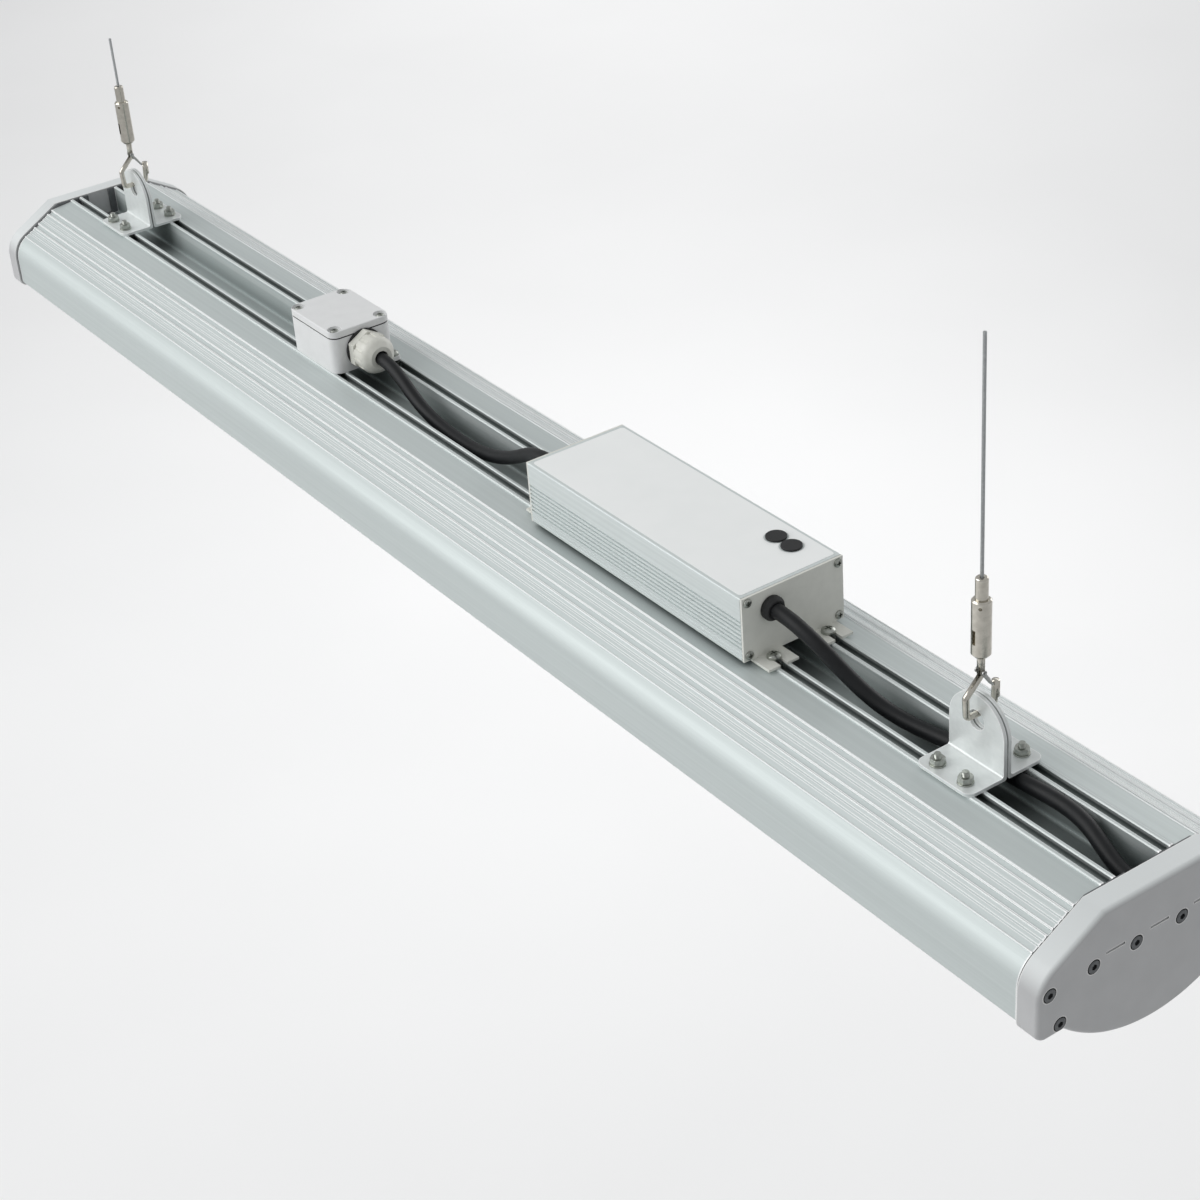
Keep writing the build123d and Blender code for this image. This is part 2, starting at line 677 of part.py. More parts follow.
def driver_case():
    """The driver's finned case, open at both ends, with holes for the two trim plugs."""
    far, near = driver_ends()
    outer = Pos(0, DRIVER_BOTTOM + DRIVER_H / 2) * RectangleRounded(DRIVER_W, DRIVER_H, 1.0)
    for side in SIDES:
        for k in range(FIN_COUNT):
            z = DRIVER_BOTTOM + FIN_START + k * FIN_PITCH
            outer -= Pos(side * DRIVER_W / 2, z) * Rectangle(2 * FIN_DEPTH, FIN_GAP)
    inner_w = DRIVER_W - 2 * (DRIVER_WALL + FIN_DEPTH)
    inner_h = DRIVER_H - 2 * DRIVER_WALL
    outer -= Pos(0, DRIVER_BOTTOM + DRIVER_H / 2) * Rectangle(inner_w, inner_h)
    for side in SIDES:
        for z in plate_screw_zs():
            post = Rectangle(2 * PLATE_SCREW_INSET, 2 * PLATE_SCREW_INSET - 0.4)
            outer += Pos(side * plate_screw_y(), z) * post
    for side in SIDES:
        for z in plate_screw_zs():
            outer -= Pos(side * plate_screw_y(), z) * Circle(PLATE_SCREW_R + M4_CLEAR)
    case = bar(outer, far + PLATE_T, near - PLATE_T)
    for x in plug_xs():
        case -= rod(x, PLUG_Y, DRIVER_TOP - DRIVER_WALL, PLUG_NECK_R + 0.1, DRIVER_WALL)
    return case


def plate_screw_y():
    """Distance of the corner screws from the driver's middle."""
    return DRIVER_W / 2 - PLATE_SCREW_INSET - 0.3


def plate_screw_zs():
    """Heights of the lower and upper corner screws."""
    return DRIVER_BOTTOM + PLATE_SCREW_INSET, DRIVER_TOP - PLATE_SCREW_INSET


def plug_xs():
    """The x of the two trim plugs."""
    near = driver_ends()[1]
    return near - PLUG_FROM_END - PLUG_PITCH / 2, near - PLUG_FROM_END + PLUG_PITCH / 2


def driver_core():
    """The potted electronics: one block that fills the case between its corner screw posts."""
    far, near = driver_ends()
    width = DRIVER_W - 2 * (DRIVER_WALL + FIN_DEPTH + CORE_CLEAR)
    block_z = DRIVER_BOTTOM + DRIVER_WALL
    height = DRIVER_H - 2 * DRIVER_WALL - CORE_CLEAR - 1.0
    profile = Pos(0, block_z + height / 2) * Rectangle(width, height)
    post = 2 * (PLATE_SCREW_INSET + CORE_CLEAR)
    for side in SIDES:
        for z in plate_screw_zs():
            profile -= Pos(side * plate_screw_y(), z) * Rectangle(post, post)
    return bar(profile, far + PLATE_T + 2, near - PLATE_T - 2)


def driver_plate(end, lead_y):
    """A driver end plate with two slotted feet and a hole for the lead's grommet."""
    face = driver_ends()[0] if end < 0 else driver_ends()[1]
    x0, x1 = sorted((face, face - end * PLATE_T))
    plate = block(x0, x1, -DRIVER_W / 2 + 0.2, DRIVER_W / 2 - 0.2, DRIVER_BOTTOM, DRIVER_TOP - 0.2)
    for y in SLOT_YS:
        tip = face + end * FOOT_REACH
        inner, outer = sorted((face - end * PLATE_T, tip))
        foot = block(inner, outer, y - FOOT_W / 2, y + FOOT_W / 2, BODY_TOP, DRIVER_BOTTOM)
        slot_x = face + end * FOOT_SCREW_REACH
        foot -= rod(slot_x, y, BODY_TOP, FOOT_SLOT_W / 2, PLATE_T)
        s0, s1 = sorted((slot_x, tip + end))
        foot -= block(s0, s1, y - FOOT_SLOT_W / 2, y + FOOT_SLOT_W / 2, BODY_TOP, DRIVER_BOTTOM)
        plate += foot
    for side in SIDES:
        for z in plate_screw_zs():
            plate -= rod(x0, side * plate_screw_y(), z, PLATE_SCREW_R + 0.1, PLATE_T, (1, 0, 0))
    plate -= rod(x0, lead_y, DRIVER_BOTTOM + LEAD_Z, ENTRY_HOLE_R, PLATE_T, (1, 0, 0))
    return plate


def pan_screw(x, y, seat, axis, head_r, head_h, stem_r, length):
    """A domed screw with a cross recess, seated at the point, with its stem running back."""
    dome = [(0, 1.0), (0.55, 0.97), (0.9, 0.62), (1, 0.3)]
    head = turned([(head_h * rise, head_r * width) for rise, width in dome], 0, 0, 0, (0, 0, 1))
    for turn in (0, 90):
        head -= Rot(0, 0, turn) * Pos(0, 0, head_h) * Box(CROSS_L * head_r / PAN_R, CROSS_W, 2 * CROSS_DEPTH)
    head += rod(0, 0, -length, stem_r, length)
    return Plane((x, y, seat), z_dir=axis) * head


def plate_screws():
    """The corner screws of both driver end plates."""
    screws = []
    for end, face in zip(SIDES, driver_ends()):
        for side in SIDES:
            for z in plate_screw_zs():
                screws.append(
                    pan_screw(face, side * plate_screw_y(), z, (end, 0, 0),
                              PLATE_SCREW_HEAD_R, 1.4, PLATE_SCREW_R, 10.0)
                )
    return screws


def trim_plugs():
    """Two rubber plugs over the driver's trimmers."""
    heads = [rod(x, PLUG_Y, DRIVER_TOP, PLUG_R, PLUG_HEAD_H) for x in plug_xs()]
    necks = [rod(x, PLUG_Y, DRIVER_TOP - DRIVER_WALL, PLUG_NECK_R, DRIVER_WALL) for x in plug_xs()]
    return [head + neck for head, neck in zip(heads, necks)]


def foot_screw_points():
    """Where the driver's feet are screwed to the T-slots."""
    return [
        (face + end * FOOT_SCREW_REACH, y)
        for end, face in zip(SIDES, driver_ends())
        for y in SLOT_YS
    ]


def slot_screw(x, y, panel_t):
    """A pan-head screw through a panel that lies on the lips, down to the slot nut's far side."""
    reach = panel_t + SLOT_LIP_T + SLOT_NUT_H
    return pan_screw(x, y, BODY_TOP + panel_t, (0, 0, 1), PAN_R, PAN_H, M4_R - M4_CLEAR, reach)


def slot_nut(x, y):
    """A square nut that sits under the slot's lips."""
    top = BODY_TOP - SLOT_LIP_T
    nut = Pos(x, y, top - SLOT_NUT_H / 2) * Box(SLOT_NUT_SIDE, SLOT_NUT_SIDE, SLOT_NUT_H)
    return nut - rod(x, y, top - SLOT_NUT_H, M4_R, SLOT_NUT_H)


def box_faces():
    """The x of the junction box's far and near walls."""
    return BOX_X - BOX_L / 2, BOX_X + BOX_L / 2


def post_points():
    """The centres of the junction box's lid screws."""
    return [
        (BOX_X + sx * (BOX_L / 2 - POST_INSET), sy * (BOX_W / 2 - POST_INSET))
        for sx in SIDES
        for sy in SIDES
    ]


def lug_points():
    """Where the junction box's two lugs are screwed to the rear T-slot."""
    far, near = box_faces()
    return [(far - LUG_SCREW_REACH, SLOT_Y), (near + LUG_SCREW_REACH, SLOT_Y)]


def junction_box_base():
    """The cast base: walls, corner posts, two lugs, a gland hole and an open mains entry behind."""
    near = box_faces()[1]
    outer = Pos(BOX_X, 0) * RectangleRounded(BOX_L, BOX_W, BOX_CORNER_R)
    base = extrude(Plane.XY.offset(BODY_TOP) * outer, amount=BOX_BASE_H)
    inner_l, inner_w = BOX_L - 2 * BOX_WALL, BOX_W - 2 * BOX_WALL
    room = Pos(BOX_X, 0) * RectangleRounded(inner_l, inner_w, BOX_CORNER_R - BOX_WALL)
    for x, y in post_points():
        room -= Pos(x, y) * Circle(POST_R)
    base -= extrude(Plane.XY.offset(BODY_TOP + BOX_WALL) * room, amount=BOX_BASE_H)
    for x, y in lug_points():
        end = -1 if x < BOX_X else 1
        middle = BOX_X + end * (BOX_L + LUG_REACH - BOX_WALL) / 2
        rounded = Pos(middle, y - 0.6) * RectangleRounded(LUG_REACH + BOX_WALL, LUG_W, 2.4)
        base += extrude(Plane.XY.offset(BODY_TOP) * rounded, amount=LUG_T)
        base -= rod(x, y, BODY_TOP, M4_R + 0.25, LUG_T)
    thick = BOX_WALL + ENTRY_BOSS_T
    low, high = BODY_TOP + BOX_WALL - 0.5, BODY_TOP + BOX_BASE_H
    rear = BOX_W / 2
    base += block(near - thick, near - 0.5, -ENTRY_BOSS_HALF_W, ENTRY_BOSS_HALF_W, low, high)
    base += block(BOX_X - ENTRY_BOSS_HALF_W, BOX_X + ENTRY_BOSS_HALF_W, rear - thick, rear - 0.5, low, high)
    base -= rod(near - thick, 0, BODY_TOP + GLAND_Z, ENTRY_R, thick, (1, 0, 0))
    base -= rod(BOX_X, rear - thick, BODY_TOP + GLAND_Z, ENTRY_R, thick, (0, 1, 0))
    for x, y in post_points():
        base -= rod(x, y, BODY_TOP + BOX_BASE_H - 12, LID_SCREW_R + 0.05, 12)
    return base


def lid_gasket():
    """The lid's flat gasket, a rim that runs inside the screws' posts."""
    rim = Pos(BOX_X, 0) * RectangleRounded(BOX_L - 0.8, BOX_W - 0.8, BOX_CORNER_R - 0.4)
    inner_l, inner_w = BOX_L - 2 * BOX_WALL, BOX_W - 2 * BOX_WALL
    rim -= Pos(BOX_X, 0) * RectangleRounded(inner_l, inner_w, BOX_CORNER_R - BOX_WALL)
    for x, y in post_points():
        rim += Pos(x, y) * Circle(POST_R)
    for x, y in post_points():
        rim -= Pos(x, y) * Circle(LID_SCREW_R + 0.3)
    return extrude(Plane.XY.offset(BODY_TOP + BOX_BASE_H) * rim, amount=LID_GASKET_T)


def junction_box_lid():
    """The lid, with a lowered round seat at each corner screw."""
    outer = Pos(BOX_X, 0) * RectangleRounded(BOX_L, BOX_W, BOX_CORNER_R)
    lid = extrude(Plane.XY.offset(BOX_TOP - LID_T) * outer, amount=LID_T)
    top = lid.faces().sort_by(Axis.Z)[-1]
    lid = fillet(top.edges(), 0.8)
    for x, y in post_points():
        lid -= rod(x, y, BOX_TOP - LID_NOTCH_D, LID_NOTCH_R, LID_NOTCH_D)
        lid -= rod(x, y, BOX_TOP - LID_T, LID_SCREW_R + 0.3, LID_T)
    return lid


def lid_screws():
    """The lid's corner screws."""
    seat = BOX_TOP - LID_NOTCH_D
    reach = LID_T - LID_NOTCH_D + LID_GASKET_T + 8
    return [
        pan_screw(x, y, seat, (0, 0, 1), LID_SCREW_HEAD_R, LID_SCREW_HEAD_H, LID_SCREW_R, reach)
        for x, y in post_points()
    ]


def terminal_block():
    """A row of screw terminals, with its wire and screw holes, seated on the box's floor."""
    width = TERMINAL_POLES * TERMINAL_PITCH
    z0 = BODY_TOP + BOX_WALL
    y0 = -TERMINAL_DEPTH / 2
    body = block(BOX_X - width / 2, BOX_X + width / 2, y0, -y0, z0, z0 + TERMINAL_H)
    for x, _ in terminal_points():
        body -= rod(x, y0, z0 + 4.5, 2.0, TERMINAL_DEPTH, (0, 1, 0))
    for x, y in terminal_points():
        for side in SIDES:
            body -= rod(x, side * y, z0 + 5, TERMINAL_SCREW_R + 0.15, TERMINAL_H)
    return body


def terminal_points():
    """The middle of each terminal and its screws' distance from the block's middle."""
    first = BOX_X - (TERMINAL_POLES - 1) * TERMINAL_PITCH / 2
    return [(first + k * TERMINAL_PITCH, TERMINAL_DEPTH / 4) for k in range(TERMINAL_POLES)]


def terminal_screws():
    """The terminals' clamping screws, just below the block's top."""
    z0 = BODY_TOP + BOX_WALL
    return [
        rod(x, side * y, z0 + 5, TERMINAL_SCREW_R, TERMINAL_H - 6)
        for x, y in terminal_points()
        for side in SIDES
    ]


def gland_parts():
    """The gland on the junction box's near wall: body, sealing ring, clamping seal and dome nut."""
    wall = box_faces()[1]
    z = BODY_TOP + GLAND_Z
    along = (1, 0, 0)
    hex_start = wall + GLAND_RING_T
    hex_end = hex_start + GLAND_HEX_L
    thread_l = BOX_WALL + ENTRY_BOSS_T
    thread_r = ENTRY_R - 0.1
    body_l = hex_end + GLAND_BODY_L - wall + thread_l
    ring = rod(wall, 0, z, GLAND_RING_R, GLAND_RING_T, along)
    ring -= rod(wall, 0, z, thread_r + 0.05, GLAND_RING_T, along)
    hexagon = Plane((hex_start, 0, z), z_dir=along) * RegularPolygon(GLAND_HEX / 2, 6, major_radius=False)
    body = extrude(hexagon, amount=GLAND_HEX_L)
    body += rod(wall - thread_l, 0, z, thread_r, thread_l + GLAND_RING_T, along)
    body += rod(hex_end, 0, z, GLAND_BODY_R, GLAND_BODY_L, along)
    body -= rod(wall - thread_l, 0, z, GLAND_BORE_R, body_l, along)
    seal = rod(hex_end, 0, z, GLAND_BORE_R - 0.05, GLAND_BODY_L, along)
    seal -= rod(hex_end, 0, z, LEAD_D / 2, GLAND_BODY_L, along)
    outline = [(0.3, DOME_R), (9.0, DOME_R), (12.2, DOME_R - 1.6), (DOME_L, DOME_TIP_R)]
    dome = turned(outline, hex_end, 0, z, along)
    dome -= rod(hex_end, 0, z, GLAND_BODY_R + 0.1, GLAND_BODY_L + 0.6, along)
    dome -= rod(hex_end, 0, z, DOME_MOUTH_R, DOME_L, along)
    for k in range(DOME_RIBS):
        groove = Rot(360 / DOME_RIBS * k, 0, 0) * Pos(0, DOME_R + 0.5, 0) * Box(8.6, 2.2, 2.6)
        dome -= Pos(hex_end + 4.6, 0, z) * groove
    return body, ring, seal, dome


def bracket(x, side):
    """A folded L bracket: flange on the lips, ear upright beside the middle plane."""
    ear_y = EAR_GAP / 2
    left, right = x - BRACKET_L / 2, x + BRACKET_L / 2
    ear_r = BRACKET_L / 2
    ear_h = EAR_TOP - ear_r
    face = Pos(x, BODY_TOP + ear_h / 2) * Rectangle(BRACKET_L, ear_h)
    face += Pos(x, BODY_TOP + ear_h) * Circle(ear_r)
    face -= Pos(x, BODY_TOP + EAR_HOLE_Z) * Circle(EAR_HOLE_R)
    ear = extrude(Plane((0, 0, 0), x_dir=(1, 0, 0), z_dir=(0, -1, 0)) * face, amount=BRACKET_T)
    ear = Pos(0, BRACKET_T + ear_y, 0) * ear
    flange = block(left, right, ear_y, FLANGE_REACH + ear_y, BODY_TOP, BODY_TOP + BRACKET_T)
    corners = flange.edges().filter_by(Axis.Z).group_by(Axis.Y)[-1]
    flange = fillet(corners, FLANGE_CORNER_R)
    folded = ear + flange
    for z in (BODY_TOP + BRACKET_T, BODY_TOP):
        level = folded.edges().filter_by(Axis.X).filter_by_position(Axis.Z, z - 0.1, z + 0.1)
        folded = fillet(level.sort_by(Axis.Y)[0], BEND_R)
    for bolt_x in bolt_xs(x):
        folded -= rod(bolt_x, SLOT_Y, BODY_TOP, M4_R + 0.25, BRACKET_T)
    return folded if side > 0 else mirror(folded, Plane.XZ)


def bolt_xs(x):
    """The x of a bracket's two bolts."""
    return x - BRACKET_BOLT_PITCH / 2, x + BRACKET_BOLT_PITCH / 2


def bracket_bolt_points():
    """Where the brackets are bolted to the T-slots."""
    return [
        (bolt_x, y)
        for x in (FAR_BRACKET_X, NEAR_BRACKET_X)
        for bolt_x in bolt_xs(x)
        for y in SLOT_YS
    ]


def slot_bolt(x, y):
    """A bolt with a square head under the lips and its stud standing through the nut."""
    under = BODY_TOP - SLOT_LIP_T
    top = BODY_TOP + BRACKET_T + WASHER_T + NUT_H + STUD_ABOVE_NUT
    head = Pos(x, y, under - SLOT_NUT_H / 2) * Box(SLOT_NUT_SIDE, SLOT_NUT_SIDE, SLOT_NUT_H)
    stud = rod(x, y, under, M4_R - M4_CLEAR, top - under)
    return head + chamfer(stud.faces().sort_by(Axis.Z)[-1].edges(), 0.4)


def washer(x, y):
    """A plain washer on the flange."""
    z = BODY_TOP + BRACKET_T
    return rod(x, y, z, WASHER_R, WASHER_T) - rod(x, y, z, M4_R + 0.15, WASHER_T)


def hex_nut(x, y):
    """A hexagon nut on its washer."""
    z = BODY_TOP + BRACKET_T + WASHER_T
    nut = extrude(Plane((x, y, z)) * RegularPolygon(NUT_FLATS / 2, 6, major_radius=False), amount=NUT_H)
    nut &= turned([(0, 3.6), (0.5, 4.1), (NUT_H - 0.5, 4.1), (NUT_H, 3.6)], x, y, z, (0, 0, 1))
    return nut - rod(x, y, z, M4_R, NUT_H)


def hook(x):
    """The hook: shank, arm, bar through the bracket's holes and upright tip, bent from one rod."""
    neck = BODY_TOP + NECK_Z
    path = FilletPolyline(
        (x, 0, neck + 1.5),
        (x, 0, neck - 1.0),
        (x, -ARM_Y, BODY_TOP + ARM_Z),
        (x, -ARM_Y + 0.6, PIVOT_Z),
        (x, TIP_Y - 1.2, PIVOT_Z),
        (x, TIP_Y, BODY_TOP + TIP_TOP),
        radius=[1.2, HOOK_BEND_R, HOOK_BEND_R, HOOK_BEND_R],
    )
    bent = sweep(Plane(path @ 0, z_dir=path % 0) * Circle(ROD_R), path)
    shank = rod(x, 0, neck, SHANK_R, SHANK_TOP - neck)
    tip = rod(x, TIP_Y, BODY_TOP + TIP_TOP - TIP_L, TIP_R, TIP_L)
    return bent + shank + tip - rod(x - 4, 0, neck + 1, GATE_PIN_R, 8, (1, 0, 0))


def gate_direction():
    """Unit vector, in Y and Z, from the gate's pin to the hook's tip, and the gate's length."""
    reach = Vector(0, TIP_Y - TIP_R - GATE_CLEAR, TIP_TOP - 1.0 - NECK_Z - 1.0)
    return reach.normalized(), reach.length


def gate(x):
    """The sprung gate: two cheeks on the pin, joined by a strip that closes on the hook's tip."""
    direction, length = gate_direction()
    pin = Vector(x, 0, BODY_TOP + NECK_Z + 1)
    turn = -Vector(0, 1, 0).get_angle(direction)
    cheek_x = SHANK_R + GATE_GAP
    half = cheek_x + GATE_CHEEK_T
    cheek_l = GATE_STRIP_START + 1.5
    shape = None
    for side in SIDES:
        x0, x1 = sorted((side * cheek_x, side * half))
        cheek = block(x0, x1, 0, cheek_l, -GATE_T / 2 - 0.5, GATE_T / 2)
        cheek += rod(x0, 0, 0, GATE_EYE_R, GATE_CHEEK_T, (1, 0, 0))
        cheek -= rod(x0, 0, 0, GATE_PIN_R + PIN_CLEAR, GATE_CHEEK_T, (1, 0, 0))
        shape = cheek if shape is None else shape + cheek
    strip = block(-half, half, GATE_STRIP_START, cheek_l, -GATE_T / 2, GATE_T / 2)
    strip += block(-1.6, 1.6, GATE_STRIP_START, length, -GATE_T / 2, GATE_T / 2)
    return Pos(pin.X, pin.Y, pin.Z) * Rot(turn, 0, 0) * (shape + strip)


def gate_pin(x):
    """The pin through the hook's neck that carries the gate."""
    half = SHANK_R + GATE_GAP + GATE_CHEEK_T + 0.6
    return rod(x - half, 0, BODY_TOP + NECK_Z + 1, GATE_PIN_R, 2 * half, (1, 0, 0))


def gripper_body(x):
    """The wire gripper: bored for the shank, the wire and the release collar, with a tail slot."""
    top_edge = [(GRIPPER_L - GRIPPER_EDGE, GRIPPER_R), (GRIPPER_L, GRIPPER_R - GRIPPER_EDGE)]
    body = turned([(0, GRIPPER_R - 1.6), (1.8, GRIPPER_R)] + top_edge, x, 0, GRIPPER_BOTTOM, (0, 0, 1))
    body -= rod(x, 0, GRIPPER_BOTTOM, SHANK_R, SHANK_IN)
    collar_room = COLLAR_L - COLLAR_ABOVE + COLLAR_TRAVEL + 0.4
    body -= rod(x, 0, GRIPPER_TOP - collar_room, COLLAR_R + COLLAR_CLEAR, collar_room)
    body -= rod(x, 0, GRIPPER_TOP - WIRE_IN, WIRE_GRIPPED_R, WIRE_IN)
    slot_w, slot_l = TAIL_SLOT
    z = GRIPPER_BOTTOM + TAIL_SLOT_Z
    body -= block(x - slot_w / 2, x + slot_w / 2, -GRIPPER_R - 1, -WIRE_R - 0.6, z, z + slot_l)
    turn = radians(SIGHT_HOLE_TURN)
    aim = (cos(turn), sin(turn), 0)
    hole_z = GRIPPER_TOP - SIGHT_HOLE_DROP
    start = COLLAR_R + COLLAR_CLEAR
    body -= rod(x + start * aim[0] * 0.8, start * aim[1] * 0.8, hole_z, SIGHT_HOLE_R, GRIPPER_R, aim)
    return body


def gripper_collar(x):
    """The release collar, a bored plunger that is pushed down into the gripper."""
    bottom = COLLAR_TOP - COLLAR_L
    outline = [(0, COLLAR_R), (COLLAR_L - 0.6, COLLAR_R), (COLLAR_L, COLLAR_R - 0.6)]
    collar = turned(outline, x, 0, bottom, (0, 0, 1))
    return collar - rod(x, 0, bottom, WIRE_R + WIRE_CLEAR, COLLAR_L)


def wire(x, top):
    """The steel suspension wire: pressed thinner where the gripper holds it, then free to its end."""
    bottom = GRIPPER_TOP - WIRE_IN
    free = COLLAR_TOP + WIRE_GRIP_ABOVE
    return rod(x, 0, bottom, WIRE_GRIPPED_R, free - bottom) + rod(x, 0, free, WIRE_R, BODY_TOP + top - free)


def write_body():
    """Writes the body, its diffuser, ends and LED boards."""
    near_cap = end_cap(with_entry=True)
    near_gasket = gasket()
    save("housing_extrusion", housing())
    save("diffuser", diffuser())
    save("near_end_cap", near_cap)
    save("far_end_cap", mirror(end_cap(with_entry=False), Plane.YZ))
    save("near_gasket", near_gasket)
    save("far_gasket", mirror(near_gasket, Plane.YZ))
    save("end_cap_screws", *cap_screws())
    save("led_boards", *led_boards())
    save("led_packages", *led_packages())
    save("led_board_screws", *board_screws())
    flange = (CAP_WALL, ENTRY_HOLE_R, GROMMET_FLANGE_R, GROMMET_FLANGE_T)
    save("lead_entry_grommet", grommet(CAP_START, 0, BODY_TOP - ENTRY_DROP, (-1, 0, 0), *flange))


def write_driver():
    """Writes the driver, its fixings and both leads."""
    far, near = driver_ends()
    lead_z = DRIVER_BOTTOM + LEAD_Z
    boot = (PLATE_T, ENTRY_HOLE_R, BOOT_R, BOOT_L - 2, BOOT_L)
    save("driver_case", driver_case())
    save("driver_potted_core", driver_core())
    save("driver_far_plate", driver_plate(-1, INPUT_LEAD_Y))
    save("driver_near_plate", driver_plate(1, OUTPUT_LEAD_Y))
    save("driver_plate_screws", *plate_screws())
    save("driver_trim_plugs", *trim_plugs())
    save("driver_input_grommet", grommet(far, INPUT_LEAD_Y, lead_z, (-1, 0, 0), *boot))
    save("driver_output_grommet", grommet(near, OUTPUT_LEAD_Y, lead_z, (1, 0, 0), *boot))
    save("driver_foot_screws", *[slot_screw(x, y, PLATE_T) for x, y in foot_screw_points()])
    save("driver_slot_nuts", *[slot_nut(x, y) for x, y in foot_screw_points()])
    gland_face = box_faces()[1] + GLAND_RING_T + GLAND_HEX_L
    save("driver_input_lead", lead(laid(INPUT_ROUTE, gland_face, far), LEAD_D))
    save("driver_output_lead", lead(laid(OUTPUT_ROUTE, near, CAP_START + CAP_WALL + LEAD_PAST_WALL), LEAD_D))


def write_junction_box():
    """Writes the junction box, its gland and its fixings."""
    body, ring, seal, dome = gland_parts()
    save("junction_box_base", junction_box_base())
    save("junction_box_gasket", lid_gasket())
    save("junction_box_lid", junction_box_lid())
    save("junction_box_lid_screws", *lid_screws())
    save("junction_box_fixing_screws", *[slot_screw(x, y, LUG_T) for x, y in lug_points()])
    save("junction_box_slot_nuts", *[slot_nut(x, y) for x, y in lug_points()])
    save("terminal_block", terminal_block())
    save("terminal_screws", *terminal_screws())
    save("gland_body", body)
    save("gland_sealing_ring", ring)
    save("gland_clamping_seal", seal)
    save("gland_dome_nut", dome)


def write_suspension():
    """Writes both suspensions: brackets, bolts, hooks, grippers and wires."""
    for end, x, top in (("near", NEAR_BRACKET_X, NEAR_WIRE_TOP), ("far", FAR_BRACKET_X, FAR_WIRE_TOP)):
        save(f"{end}_front_bracket", bracket(x, -1))
        save(f"{end}_rear_bracket", bracket(x, 1))
        save(f"{end}_hook", hook(x))
        save(f"{end}_hook_gate", gate(x))
        save(f"{end}_gate_pin", gate_pin(x))
        save(f"{end}_gripper_body", gripper_body(x))
        save(f"{end}_gripper_collar", gripper_collar(x))
        save(f"{end}_wire", wire(x, top))
    points = bracket_bolt_points()
    save("bracket_bolts", *[slot_bolt(x, y) for x, y in points])
    save("bracket_washers", *[washer(x, y) for x, y in points])
    save("bracket_nuts", *[hex_nut(x, y) for x, y in points])


write_body()
write_driver()
write_junction_box()
write_suspension()
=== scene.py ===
"""Looks of a linear high bay light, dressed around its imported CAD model.

Everything is in metres, in the CAD model's frame: X along the body, Y towards the rear slot, Z up.
"""

import logging
import math
from collections.abc import Iterable, Sequence
from dataclasses import dataclass
from enum import Enum
from functools import cache
from typing import Any

import bmesh
import bpy
from mathutils import Euler, Matrix, Vector


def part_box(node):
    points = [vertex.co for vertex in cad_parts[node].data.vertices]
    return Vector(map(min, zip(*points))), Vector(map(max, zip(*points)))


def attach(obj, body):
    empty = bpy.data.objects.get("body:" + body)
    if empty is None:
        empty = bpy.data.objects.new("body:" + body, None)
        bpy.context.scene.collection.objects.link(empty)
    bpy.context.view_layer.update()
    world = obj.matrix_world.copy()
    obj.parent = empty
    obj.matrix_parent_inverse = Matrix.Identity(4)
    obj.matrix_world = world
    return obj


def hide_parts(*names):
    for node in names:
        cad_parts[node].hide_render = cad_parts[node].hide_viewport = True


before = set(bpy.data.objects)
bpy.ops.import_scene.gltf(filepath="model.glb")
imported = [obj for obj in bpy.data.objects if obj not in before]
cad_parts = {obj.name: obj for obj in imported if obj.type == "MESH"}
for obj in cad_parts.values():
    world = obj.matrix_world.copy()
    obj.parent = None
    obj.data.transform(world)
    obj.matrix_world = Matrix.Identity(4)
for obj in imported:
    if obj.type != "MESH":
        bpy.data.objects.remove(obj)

LOG = logging.getLogger("high_bay_light")
MM = 0.001
CREASE_DEG = 32.0
WELD_DISTANCE = 1e-6
FLAT_WITHIN_DEG = 0.5
ROUND_SEGMENTS = 2
ROUND_PROFILE = 0.5
FACE_AREA_WEIGHT = 90
OPENNESS_SAMPLES = 12
GRAIN_LEVELS = (0.3, 0.7)
Point = tuple[float, float, float]
Span = tuple[float, float, float, float]
# Spans of a blend: two levels of what steers it, and the second colour's share at each.
TOP_LIGHT_SPAN: Span = (0.2, 0.8, 0.0, 1.0)
EDGE_HIGHLIGHT_SPAN: Span = (0.55, 0.9, 1.0, 0.0)
HOLLOW_SHADE_SPAN: Span = (0.3, 0.83, 0.0, 1.0)


class Body(Enum):
    """The rigid bodies of the CAD model that carry a piece made here."""

    FIXTURE = "fixture"
    NEAR_SUSPENSION = "near_suspension"
    FAR_SUSPENSION = "far_suspension"


def linear(code: str) -> tuple[float, float, float, float]:
    """Turns an sRGB hex code into a linear colour.

    Args:
        code: six hex digits after a hash sign.

    Returns:
        Linear red, green, blue and an alpha of one.
    """
    parts = [int(code[i : i + 2], 16) / 255 for i in (1, 3, 5)]
    red, green, blue = (c / 12.92 if c <= 0.04045 else ((c + 0.055) / 1.055) ** 2.4 for c in parts)
    return red, green, blue, 1.0


def add_node(
    tree: bpy.types.NodeTree,
    kind: str,
    settings: dict[str, Any] | None = None,
    inputs: dict[Any, Any] | None = None,
) -> bpy.types.Node:
    """Adds a shader node with its settings, values and links.

    Args:
        tree: the node tree.
        kind: the node's type name.
        settings: attributes of the node.
        inputs: values or output sockets, by the name or number of the input they go to.

    Returns:
        The new node.
    """
    node = tree.nodes.new(kind)
    for name, value in (settings or {}).items():
        setattr(node, name, value)
    for key, value in (inputs or {}).items():
        if isinstance(value, bpy.types.NodeSocket):
            tree.links.new(value, node.inputs[key])
        else:
            node.inputs[key].default_value = value
    return node


